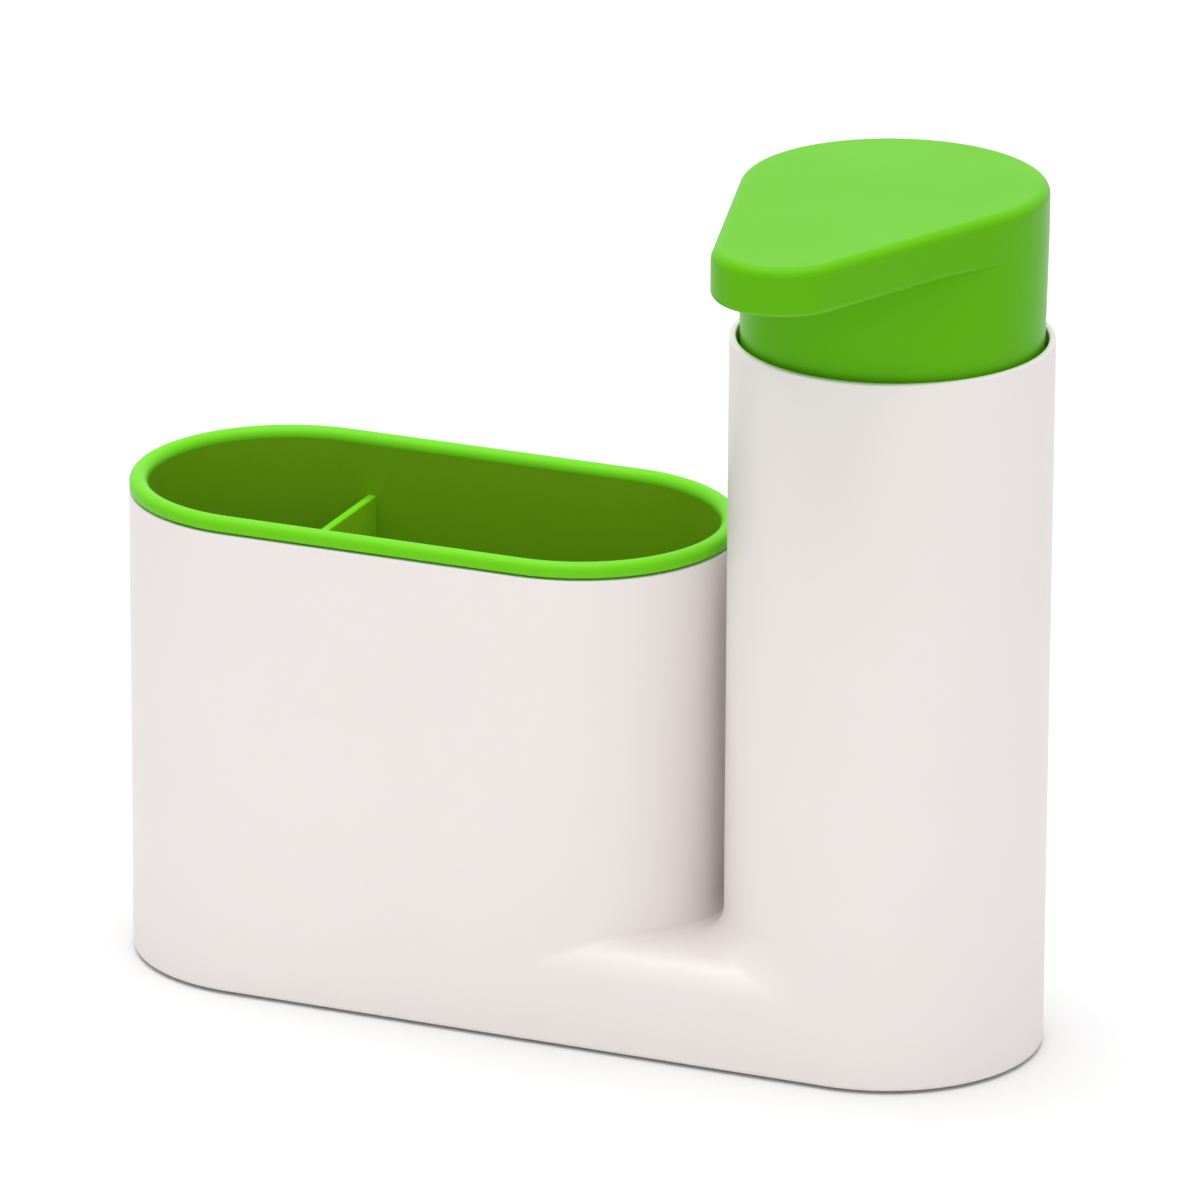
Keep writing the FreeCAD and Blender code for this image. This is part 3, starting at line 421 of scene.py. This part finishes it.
def screw_bosses(bm):
    """Four bosses round the base screws, each with a web to the side wall."""
    screw_head = 2.8 * MM
    pilot = 1.5 * MM
    boss_radius = 3.6 * MM
    boss_height = 15.0 * MM
    boss_round = 0.6 * MM
    web = 1.6 * MM
    low, top = plate_high.z, plate_high.z + boss_height
    for x in (screws_low.x + screw_head, screws_high.x - screw_head):
        for y in (screws_low.y + screw_head, screws_high.y - screw_head):
            lathe(bm, [(pilot, low, 0), (boss_radius, low, 0), (boss_radius, top, boss_round),
                       (pilot, top, boss_round)], Vector((x, y)), True, ARC_STEPS)
            near = math.copysign(abs(y) + (pilot + boss_radius) / 2, y)
            wall = math.copysign(BORE_RADIUS + SHELL_WALL / 2, y)
            plan = [(x - web / 2, near), (x + web / 2, near), (x + web / 2, wall), (x - web / 2, wall)]
            loops = [[(*spot, height) for spot in plan] for height in (low, top - 2 * boss_round)]
            skin(bm, loops, closed=True)
            fill(bm, *loops)


def grip_pad(material):
    """Non-slip pad: a soft-edged sheet with low round studs under it."""
    stud_height = 0.35 * MM
    stud_radius = 1.3 * MM
    stud_pitch = 4.2 * MM
    stud_columns = 45
    stud_rows = 13
    edge = 0.3 * MM
    radius = pad_high.y
    under = pad_low.z + stud_height
    bm = bmesh.new()
    line = rounded([(radius - 2 * edge, under, 0), (radius, under, edge), (radius, pad_high.z, edge),
                    (radius - 2 * edge, pad_high.z, 0)])
    loops = [stadium(TOWER_X, spot.x, spot.y) for spot in line]
    skin(bm, loops, closed=True)
    fill(bm, loops[0], loops[-1])
    pad = mould(bm, "grip_pad", material)
    grow(pad, stud_tree(), columns=stud_columns, rows=stud_rows, pitch=stud_pitch, half=TOWER_X,
         reach=radius - 2 * stud_radius, stud=stud_radius, squat=(1, 1, stud_height / stud_radius),
         place=(0, 0, under))
    return pad


# Liner

def liner_moulding(painted_light_green, painted_shade_green, painted_light_divider_green):
    """Green tub with a soft lip, a rounded floor with drains and a divider, matt inside; its greens hold
    painted light outside and on the divider, and painted shade inside.
    """
    wall = 2.0 * MM
    clearance = 0.5 * MM
    floor_thickness = 1.6 * MM
    corner = 5.0 * MM
    lip_inset = 0.15 * MM
    lip_gap = 0.55 * MM
    lip_rest = 0.6 * MM
    lip_outer_round = 1.5 * MM
    lip_inner_round = 2.0 * MM
    lip_under_round = 0.25 * MM
    divider_x = -60.1 * MM
    drain_radius = 2.2 * MM
    drain_mouth = 0.5 * MM
    drain_pitch = 13.0 * MM
    drain_columns = 8
    drain_rows = 3
    columns_left = 2
    upright = 0.3
    lip = liner_high.y - lip_inset
    outside = BORE_RADIUS - clearance
    inside = outside - wall
    flat = outside - corner
    floor = liner_low.z + floor_thickness
    bm = bmesh.new()
    line = rounded([(flat, liner_low.z, 0), (outside, liner_low.z, corner), (outside, CADDY_TOP, 0),
                    (outside + lip_rest, CADDY_TOP, 0), (outside + lip_rest, CADDY_TOP + lip_gap, 0),
                    (lip, CADDY_TOP + lip_gap, lip_under_round), (lip, liner_high.z, lip_outer_round),
                    (inside, liner_high.z, lip_inner_round), (inside, floor, corner - wall),
                    (flat, floor, 0)])
    loops = [stadium(CADDY_END_X, spot.x, spot.y) for spot in line]
    skin(bm, loops, closed=True)
    fill(bm, loops[0], loops[-1])
    # the whole liner first takes the lighter green of painted light
    liner = mould(bm, "liner_moulding", painted_light_green)
    drains_x = divider_x + (drain_columns / 2 - columns_left) * drain_pitch
    grow(liner, drain_tree(), columns=drain_columns, rows=drain_rows, pitch=drain_pitch, drain=drain_radius,
         mouth=drain_mouth, depth=4 * floor_thickness, place=(drains_x, 0, floor - drain_mouth / 2))
    bm = bmesh.new()
    bm.from_mesh(liner.data)
    divider(bm, divider_x, flat, corner - wall / 2, floor - floor_thickness / 2)
    bmesh.ops.recalc_face_normals(bm, faces=bm.faces)
    bm.to_mesh(liner.data)
    bm.free()
    liner.data.materials.append(painted_shade_green)
    liner.data.materials.append(painted_light_divider_green)
    for face in liner.data.polygons:
        x, y, z = face.center
        past = max(x - CADDY_END_X, -TOWER_X - x, 0)
        between = floor - floor_thickness / 2 < z < liner_high.z - lip_inner_round
        in_tub = between and math.hypot(past, y) < inside + SEAM
        on_divider = abs(x - divider_x) < wall and z > floor + SEAM and abs(y) < inside - SEAM
        # upright faces of the divider get the lighter green of painted light
        if on_divider and abs(face.normal.z) < upright:
            face.material_index = 2
        # faces inside the tub get the darker, olive green of painted shade
        elif in_tub and not on_divider:
            face.material_index = 1
    return liner


def divider(bm, x, flat, bend, low):
    """Divider across the liner: a little thicker where it runs into the walls, with a soft upper edge.

    Its ends stay inside the liner's wall and follow the wall's bend into the floor, past the flat part.
    """
    half = 0.95 * MM
    flare = 0.4 * MM
    edge_round = 0.45 * MM
    into_wall = 2 * flare
    drop = 13.0 * MM
    top = liner_high.z - drop
    reach = flat + bend
    edge = [(half + flare, reach)]
    for a in spread(0, QUARTER, ROUND_STEPS):
        edge.append((half + flare * (1 - math.sin(a)), reach - into_wall - flare * (1 - math.cos(a))))
    outline = edge + [(width, -y) for width, y in edge[::-1]]
    outline += [(-width, y) for width, y in outline[::-1]]
    rows = []
    for a in spread(0, QUARTER, ROUND_STEPS):
        shift = bend * (1 - math.sin(a))
        rows.append([(x + width, y - math.copysign(shift, y), low + bend * (1 - math.cos(a)))
                     for width, y in outline])
    for a in spread(0, QUARTER, ROUND_STEPS):
        inset = edge_round * (1 - math.cos(a))
        rows.append([(x + math.copysign(abs(width) - inset, width), y, top - edge_round * (1 - math.sin(a)))
                     for width, y in outline])
    skin(bm, rows, closed=True)
    fill(bm, rows[0], rows[-1])


# Head

def head_outline(inset, height):
    """Teardrop of the head at an inset, which is one number or one for each point."""
    nose_radius = 13.9 * MM
    round_radius = head_high.x - TOWER_X
    distance = (-head_low.y - nose_radius) / math.cos(SPOUT_TURN)
    lean = math.asin((round_radius - nose_radius) / distance)
    back = [(0, round_radius, a) for a in spread(-lean, 2 * QUARTER + lean, 2 * ARC_STEPS)]
    front = [(-distance, nose_radius, a) for a in spread(2 * QUARTER + lean, 4 * QUARTER - lean, ARC_STEPS)]
    spots = back + flank(back[-1], front[0]) + front + flank(front[-1], back[0])
    insets = inset if isinstance(inset, list) else [inset] * len(spots)
    turn = Matrix.Rotation(SPOUT_TURN, 2)
    points = []
    for (middle, radius, angle), into in zip(spots, insets):
        reach = radius - into
        spot = turn @ Vector((reach * math.cos(angle), middle + reach * math.sin(angle)))
        points.append((TOWER_X + spot.x, spot.y, height))
    return points


def flank(start, end):
    """Spots along the straight flank between two round parts of the head."""
    share = [i / FLANK_STEPS for i in range(1, FLANK_STEPS)]
    return [tuple(s + (e - s) * t for s, e in zip(start[:2], end[:2])) + (start[2],) for t in share]


def nose_shares():
    """How far each point of the head's outline belongs to the nose: 0 on the round part, 1 on the nose."""
    fade = 2.5
    ramp = [min(1, fade * i / FLANK_STEPS) for i in range(1, FLANK_STEPS)]
    soft = [t * t * (3 - 2 * t) for t in ramp]
    return [0] * (2 * ARC_STEPS + 1) + soft + [1] * (ARC_STEPS + 1) + soft[::-1]


def head_moulding(material):
    """Green head: teardrop cap with a rounded upper edge, and the skirt that runs in the tower."""
    thickness = 9.9 * MM
    wall = 1.8 * MM
    top_round = 2.1 * MM
    nose_round = 1.6 * MM
    skirt_taper = 0.6 * MM
    skirt_round = 0.5 * MM
    hidden = 0.03 * MM
    under = head_high.z - thickness
    radius = head_high.x - TOWER_X
    inner = radius - skirt_taper - wall
    shares = nose_shares()
    bm = bmesh.new()
    rows = [head_outline(wall, head_high.z - wall), head_outline(wall, under)]
    for a in spread(0, QUARTER, ROUND_STEPS):
        ring = head_outline([nose_round * s * (1 - math.sin(a)) for s in shares], under)
        rows.append([(x, y, z + nose_round * s * (1 - math.cos(a))) for (x, y, z), s in zip(ring, shares)])
    for a in spread(0, QUARTER, 2 * ROUND_STEPS):
        rows.append(head_outline(top_round * (1 - math.cos(a)), head_high.z - top_round * (1 - math.sin(a))))
    skin(bm, rows, closed=True)
    fill(bm, rows[0], rows[-1])
    lathe(bm, [(inner, under + nose_round, 0), (radius - hidden, under + nose_round, 0), (radius, under, 0),
               (radius - skirt_taper, head_low.z, skirt_round), (inner, head_low.z, skirt_round)],
          hollow=True)
    return mould(bm, "head_moulding", material)


# Bottle and pump

def bottle_blown(material):
    """Blow-moulded bottle: pushed-up foot, round shoulder and a threaded neck."""
    wall = 1.3 * MM
    neck_wall = 1.8 * MM
    neck_length = 16.4 * MM
    shoulder_rise = 11.0 * MM
    foot_round = 4.0 * MM
    shoulder_round = 9.0 * MM
    push_up = 0.7 * MM
    push_edge = 8.8 * MM
    foot_ring = 8.0 * MM
    soft = 0.5 * MM
    thread = 0.6 * MM
    thread_turns = 1.7
    thread_easing = 0.12
    thread_rise = 0.4 * neck_length
    thread_drop = 0.56 * neck_length
    side = bottle_high.y
    neck = gasket_high.y
    low, top = bottle_low.z, bottle_high.z
    shoulder = top - neck_length
    bm = bmesh.new()
    lathe(bm, [
        (0, low + push_up, 0), (side - push_edge, low + push_up, soft), (side - foot_ring, low, soft),
        (side, low, foot_round), (side, shoulder - shoulder_rise, shoulder_round), (neck, shoulder, 2 * soft),
        (neck, top, soft), (neck - neck_wall, top, soft), (neck - neck_wall, shoulder - wall, 2 * soft),
        (side - wall, shoulder - shoulder_rise - wall / 2, shoulder_round - wall),
        (side - wall, low + wall + push_up, foot_round - wall), (0, low + wall + push_up, 0)])
    bottle = mould(bm, "bottle_blown", material)
    grow(bottle, winding_tree(), turns=thread_turns, coil=neck - thread / 3, rise=thread_rise, bar=thread,
         closing=0.0, easing=thread_easing, place=(TOWER_X, 0, top - thread_drop))
    return bottle


def ribbed_collar(material):
    """Screw collar: a cap with a hole for the stem and ribs to turn it by."""
    wall = 3.1 * MM
    cover = 1.5 * MM
    hole = 9.5 * MM
    cap_round = 1.6 * MM
    soft = 0.4 * MM
    rib = 0.55 * MM
    rib_count = 44
    outer = collar_high.y
    drum = outer - rib
    low, top = collar_low.z, collar_high.z
    bm = bmesh.new()
    lathe(bm, [(outer - wall, low, soft), (drum, low, soft), (drum, top, cap_round), (hole, top, soft),
               (hole, top - cover, soft), (outer - wall, top - cover, soft)], hollow=True)
    collar = mould(bm, "ribbed_collar", material)
    grow(collar, rib_tree(), count=rib_count, ring=drum, rib=rib,
         length=(0, 0, top - low - cap_round - 2 * soft), place=(TOWER_X, 0, low + soft))
    return collar


def return_coil(material):
    """Spring wire between the cylinder's ledge and the piston seat, with its end turns close together."""
    wire = 0.5 * MM
    turns = 6.0
    closing_share = 0.11
    blunt_end = 0.001
    rise = spring_high.z - spring_low.z - 2 * wire
    coil = mould(bmesh.new(), "return_coil", material)
    grow(coil, winding_tree(), turns=turns, coil=spring_high.y - wire, rise=rise, bar=wire,
         closing=-closing_share * rise, easing=blunt_end, place=(TOWER_X, 0, spring_low.z + wire))
    return coil


# Materials

# Grain that a mould's wall leaves in plastic. The real grain is about 0.05 mm where the mould was
# spark-eroded, 0.04 mm where it was polished and 0.1 mm where it was left coarse. It is drawn larger, so
# that it shows.
SPARKED = {"size": 0.3 * MM, "detail": 2.0, "strength": 0.08, "depth": 0.05 * MM}
POLISHED = {"size": 0.35 * MM, "detail": 2.0, "strength": 0.06, "depth": 0.05 * MM}
COARSE = {"size": 0.5 * MM, "detail": 3.0, "strength": 0.15, "depth": 0.08 * MM}


def linear(code):
    """Linear colour of an sRGB hex value."""
    channels = [int(code[i:i + 2], 16) / 255 for i in (1, 3, 5)]
    return [c / 12.92 if c <= 0.04045 else ((c + 0.055) / 1.055) ** 2.4 for c in channels] + [1]


def new_material(name):
    """Empty material, its tree, its shader and its Object coordinates."""
    material = bpy.data.materials.new(name)
    material.use_nodes = True
    tree = material.node_tree
    return material, tree, tree.nodes["Principled BSDF"], add(tree, "ShaderNodeTexCoord").outputs["Object"]


def per(size):
    """Pattern scale whose features are one size across."""
    return 1 / size


def varied(tree, pattern, tints, dull):
    """Colour and roughness for a shader, each going from one end to the other with a pattern."""
    tint = add(tree, "ShaderNodeMix", {"Factor": pattern, "A": linear(tints[0]), "B": linear(tints[1])},
               data_type="RGBA")
    gloss = add(tree, "ShaderNodeMapRange", {"Value": pattern, "To Min": dull[0], "To Max": dull[1]})
    return {"Base Color": tint.outputs["Result"], "Roughness": gloss.outputs["Result"]}


def moulded(name, flow, detail, tints, dull, wall, sockets):
    """Plastic from a mould: clouds of tint and gloss where the melt flowed, and the grain of the mould.

    flow and detail are the clouds' size and fineness, tints and dull the ends of colour and roughness, wall
    is the mould's grain, and sockets are what the shader has besides.
    """
    material, tree, shader, place = new_material(name)
    melt = add(tree, "ShaderNodeTexNoise", {"Vector": place, "Scale": per(flow), "Detail": detail})
    grain = add(tree, "ShaderNodeTexNoise", {"Vector": place, "Scale": per(wall["size"]),
                                             "Detail": wall["detail"]})
    bump = add(tree, "ShaderNodeBump", {"Height": grain.outputs["Fac"], "Strength": wall["strength"],
                                        "Distance": wall["depth"]})
    feed(tree, shader, varied(tree, melt.outputs["Fac"], tints, dull))
    feed(tree, shader, {"Normal": bump.outputs["Normal"], **sockets})
    return material


def moulded_white_abs():
    """ABS from a spark-eroded mould: warm white, satin, faint clouds of gloss where the melt flowed."""
    return moulded("abs_moulded_warm_white", 38 * MM, 3.0, ("#efe8e6", "#ece5e3"), (0.36, 0.46), SPARKED, {
        "IOR": 1.53, "Subsurface Weight": 0.06, "Subsurface Radius": (1.0, 0.9, 0.8),
        "Subsurface Scale": 1.2 * MM})


def moulded_green():
    """Polypropylene from a polished mould: leaf green, smoother than the body, a sheen at grazing angles."""
    return moulded("polypropylene_moulded_leaf_green", 30 * MM, 3.0, ("#60b50c", "#5cb10a"), (0.27, 0.36),
                   POLISHED, {"IOR": 1.49, "Specular IOR Level": 0.07})


def liner_green_painted_light():
    """The same polypropylene in the thin liner, with painted light: brighter and yellower to stand for light
    that passes through.
    """
    return moulded("polypropylene_leaf_green_painted_light", 26 * MM, 3.0, ("#6ecd1c", "#6ac919"), (0.3, 0.4),
                   POLISHED, {"IOR": 1.49, "Specular IOR Level": 0.1})


def divider_faces_green_painted_light():
    """The same polypropylene in the divider's coarse faces, with painted light: lighter for light from behind
    that comes through, no sheen.
    """
    return moulded("polypropylene_leaf_green_matt_painted_light", 24 * MM, 4.0, ("#96cd1c", "#90c81a"),
                   (0.5, 0.62), COARSE, {"IOR": 1.49, "Specular IOR Level": 0.15})


def tub_inside_green_painted_shade():
    """The same polypropylene where the mould was left coarse: dull, no sheen, and darker and more olive as
    painted shade inside the tub.
    """
    return moulded("polypropylene_leaf_green_matt_painted_shade", 24 * MM, 4.0, ("#7aad13", "#74a711"),
                   (0.5, 0.62), COARSE, {"IOR": 1.49, "Specular IOR Level": 0.15})


def rubber_pad():
    """Thermoplastic rubber, moulded: dark grey, dull, with a dusty mottle."""
    material, tree, shader, place = new_material("thermoplastic_rubber_moulded_grey")
    dust = add(tree, "ShaderNodeTexNoise", {"Vector": place, "Scale": per(4 * MM), "Detail": 5.0})
    bump = add(tree, "ShaderNodeBump", {"Height": dust.outputs["Fac"], "Strength": 0.2, "Distance": 0.1 * MM})
    feed(tree, shader, varied(tree, dust.outputs["Fac"], ("#3a3a3b", "#4c4c4d"), (0.7, 0.9)))
    feed(tree, shader, {"Normal": bump.outputs["Normal"]})
    return material


def drawn_steel():
    """Stainless steel, drawn: bright metal with fine drawing lines along its height."""
    material, tree, shader, place = new_material("stainless_steel_drawn")
    stretched = add(tree, "ShaderNodeMapping", {"Vector": place, "Scale": (1, 1, 0.15)})
    lines = add(tree, "ShaderNodeTexNoise", {"Vector": stretched.outputs["Vector"], "Scale": per(0.4 * MM),
                                             "Detail": 4.0})
    feed(tree, shader, varied(tree, lines.outputs["Fac"], ("#c9c9c7", "#b2b2b1"), (0.2, 0.38)))
    feed(tree, shader, {"Metallic": 1.0})
    return material


def natural_polyethylene():
    """Natural polyethylene, blown: milky, lets light through, waxy skin with faint die lines up its side."""
    material, tree, shader, place = new_material("polyethylene_blown_natural")
    drawn = add(tree, "ShaderNodeMapping", {"Vector": place, "Scale": (1, 1, 0.06)})
    lines = add(tree, "ShaderNodeTexNoise", {"Vector": drawn.outputs["Vector"], "Scale": per(3 * MM),
                                             "Detail": 3.0})
    bump = add(tree, "ShaderNodeBump", {"Height": lines.outputs["Fac"], "Strength": 0.1,
                                        "Distance": 0.1 * MM})
    feed(tree, shader, varied(tree, lines.outputs["Fac"], ("#f0f0ea", "#e6e7e1"), (0.38, 0.5)))
    feed(tree, shader, {"Normal": bump.outputs["Normal"], "IOR": 1.51, "Transmission Weight": 0.35})
    return material


def white_polypropylene():
    """White polypropylene, moulded: clean cool white, satin, a little waxy."""
    material, tree, shader, place = new_material("polypropylene_moulded_white")
    flow = add(tree, "ShaderNodeTexNoise", {"Vector": place, "Scale": per(9 * MM), "Detail": 3.0})
    feed(tree, shader, varied(tree, flow.outputs["Fac"], ("#f0f0ee", "#e9e9e7"), (0.34, 0.46)))
    feed(tree, shader, {"IOR": 1.49})
    return material


def clear_polypropylene():
    """Clarified polypropylene, moulded: see-through with a slight haze that varies along the flow."""
    material, tree, shader, place = new_material("polypropylene_moulded_clear")
    haze = add(tree, "ShaderNodeTexNoise", {"Vector": place, "Scale": per(6 * MM), "Detail": 3.0})
    feed(tree, shader, varied(tree, haze.outputs["Fac"], ("#f2f4f3", "#e8ebea"), (0.12, 0.28)))
    feed(tree, shader, {"IOR": 1.49, "Transmission Weight": 0.7})
    return material


def foam_gasket():
    """Expanded polyethylene, cut from sheet: white, dull, fine closed cells."""
    material, tree, shader, place = new_material("polyethylene_foam_cut")
    cells = add(tree, "ShaderNodeTexVoronoi", {"Vector": place, "Scale": per(0.4 * MM)}).outputs["Distance"]
    tint = add(tree, "ShaderNodeMix", {"Factor": cells, "A": linear("#eeeeea"), "B": linear("#dcdcd6")},
               data_type="RGBA")
    bump = add(tree, "ShaderNodeBump", {"Height": cells, "Strength": 0.3, "Distance": 0.1 * MM})
    feed(tree, shader, {"Base Color": tint.outputs["Result"], "Normal": bump.outputs["Normal"],
                        "Roughness": 0.8})
    return material


# Dressing

def dress(material, *nodes):
    """Give CAD nodes that keep their own shape a material."""
    for node in nodes:
        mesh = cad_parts[node].data
        mesh.materials.clear()
        mesh.materials.append(material)


def dress_all():
    """Make every piece and set it on its body, and dress the CAD nodes that stay."""
    white = moulded_white_abs()
    green = moulded_green()
    steel = drawn_steel()
    pump_white = white_polypropylene()
    set_on(body_moulding(white), "base", "white_abs", "body_shell")
    set_on(grip_pad(rubber_pad()), "base", "pad_rubber", "base_pad")
    liner = liner_moulding(liner_green_painted_light(), tub_inside_green_painted_shade(), divider_faces_green_painted_light())
    set_on(liner, "liner", "green_plastic", "caddy_liner")
    set_on(head_moulding(green), "plunger", "green_plastic", "pump_head")
    set_on(bottle_blown(natural_polyethylene()), "bottle", "bottle_plastic", "soap_bottle")
    set_on(ribbed_collar(pump_white), "collar", "white_pump_plastic", "pump_collar")
    coil = return_coil(steel)
    set_on(coil, "spring", "steel", "return_spring")
    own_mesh(coil)
    dress(white, "base_plate")
    dress(green, "nose_cover", "spout_nozzle")
    dress(steel, "base_screws", "check_ball")
    dress(pump_white, "pump_chaplet", "pump_stem", "piston_seat", "head_core")
    dress(clear_polypropylene(), "pump_cylinder", "dip_tube", "pump_piston")
    dress(foam_gasket(), "neck_gasket")


# Stage

def set_camera():
    """Camera of the photograph: long lens, front right, a little above."""
    azimuth = math.radians(22.7513)
    elevation = math.radians(19.1763)
    roll = math.radians(0.2858)
    distance = 2249.48 * MM
    target = Vector((3.2611, 0, 85.0179)) * MM
    back = Vector((math.sin(azimuth) * math.cos(elevation), -math.cos(azimuth) * math.cos(elevation),
                   math.sin(elevation)))
    data = bpy.data.cameras.new("camera")
    data.lens = 333.1
    data.sensor_width = 36
    data.clip_end = 20
    camera = bpy.data.objects.new("camera", data)
    bpy.context.scene.collection.objects.link(camera)
    look = (-back).to_track_quat("-Z", "Y").to_matrix().to_4x4()
    camera.matrix_world = Matrix.Translation(target + back * distance) @ look @ Matrix.Rotation(roll, 4, "Z")
    bpy.context.scene.camera = camera


def set_light():
    """White surroundings, a wide soft lamp overhead and a weak one from the front right."""
    middle = Vector((0, 0, 0.08))
    ambient = 0.45
    lamps = (("overhead", (-0.1, 0.0, 2.6), 2.8, 74.0),
             ("front_right", (0.95, -2.15, 1.05), 1.6, 9.5))
    for name, place, width, power in lamps:
        data = bpy.data.lights.new(name, "AREA")
        data.shape = "DISK"
        data.size = width
        data.energy = power
        lamp = bpy.data.objects.new(name, data)
        bpy.context.scene.collection.objects.link(lamp)
        aim = middle - Vector(place)
        turn = aim.to_track_quat("-Z", "Y").to_matrix().to_4x4()
        lamp.matrix_world = Matrix.Translation(Vector(place)) @ turn
    world = bpy.data.worlds.new("white_surroundings")
    bpy.context.scene.world = world
    world.use_nodes = True
    tree = world.node_tree
    ray = add(tree, "ShaderNodeLightPath")
    seen = add(tree, "ShaderNodeMath", {0: ray.outputs["Is Camera Ray"], 1: ray.outputs["Is Glossy Ray"]},
               operation="MAXIMUM")
    seen = add(tree, "ShaderNodeMath", {0: seen.outputs[0], 1: ray.outputs["Is Transmission Ray"]},
               operation="MAXIMUM")
    level = add(tree, "ShaderNodeMapRange", {"Value": seen.outputs[0], "To Min": ambient, "To Max": 1.0})
    feed(tree, tree.nodes["Background"], {"Color": (1, 1, 1, 1), "Strength": level.outputs["Result"]})


def set_floor():
    """Plain pale floor that keeps the object's shadow."""
    half = 4.0
    mesh = bpy.data.meshes.new("floor")
    corners = [(-half, -half, 0), (half, -half, 0), (half, half, 0), (-half, half, 0)]
    mesh.from_pydata(corners, [], [(0, 1, 2, 3)])
    floor = bpy.data.objects.new("floor", mesh)
    bpy.context.scene.collection.objects.link(floor)
    material, tree, shader, place = new_material("floor_paper_white")
    tooth = add(tree, "ShaderNodeTexNoise", {"Vector": place, "Scale": per(2 * MM), "Detail": 2.0})
    tint = add(tree, "ShaderNodeMix", {"Factor": tooth.outputs["Fac"], "A": linear("#eeeeee"),
                                       "B": linear("#ececec")}, data_type="RGBA")
    feed(tree, shader, {"Base Color": tint.outputs["Result"], "Roughness": 0.9, "Specular IOR Level": 0.07})
    mesh.materials.append(material)


bpy.context.scene.view_settings.view_transform = "Standard"
dress_all()
set_camera()
set_light()
set_floor()
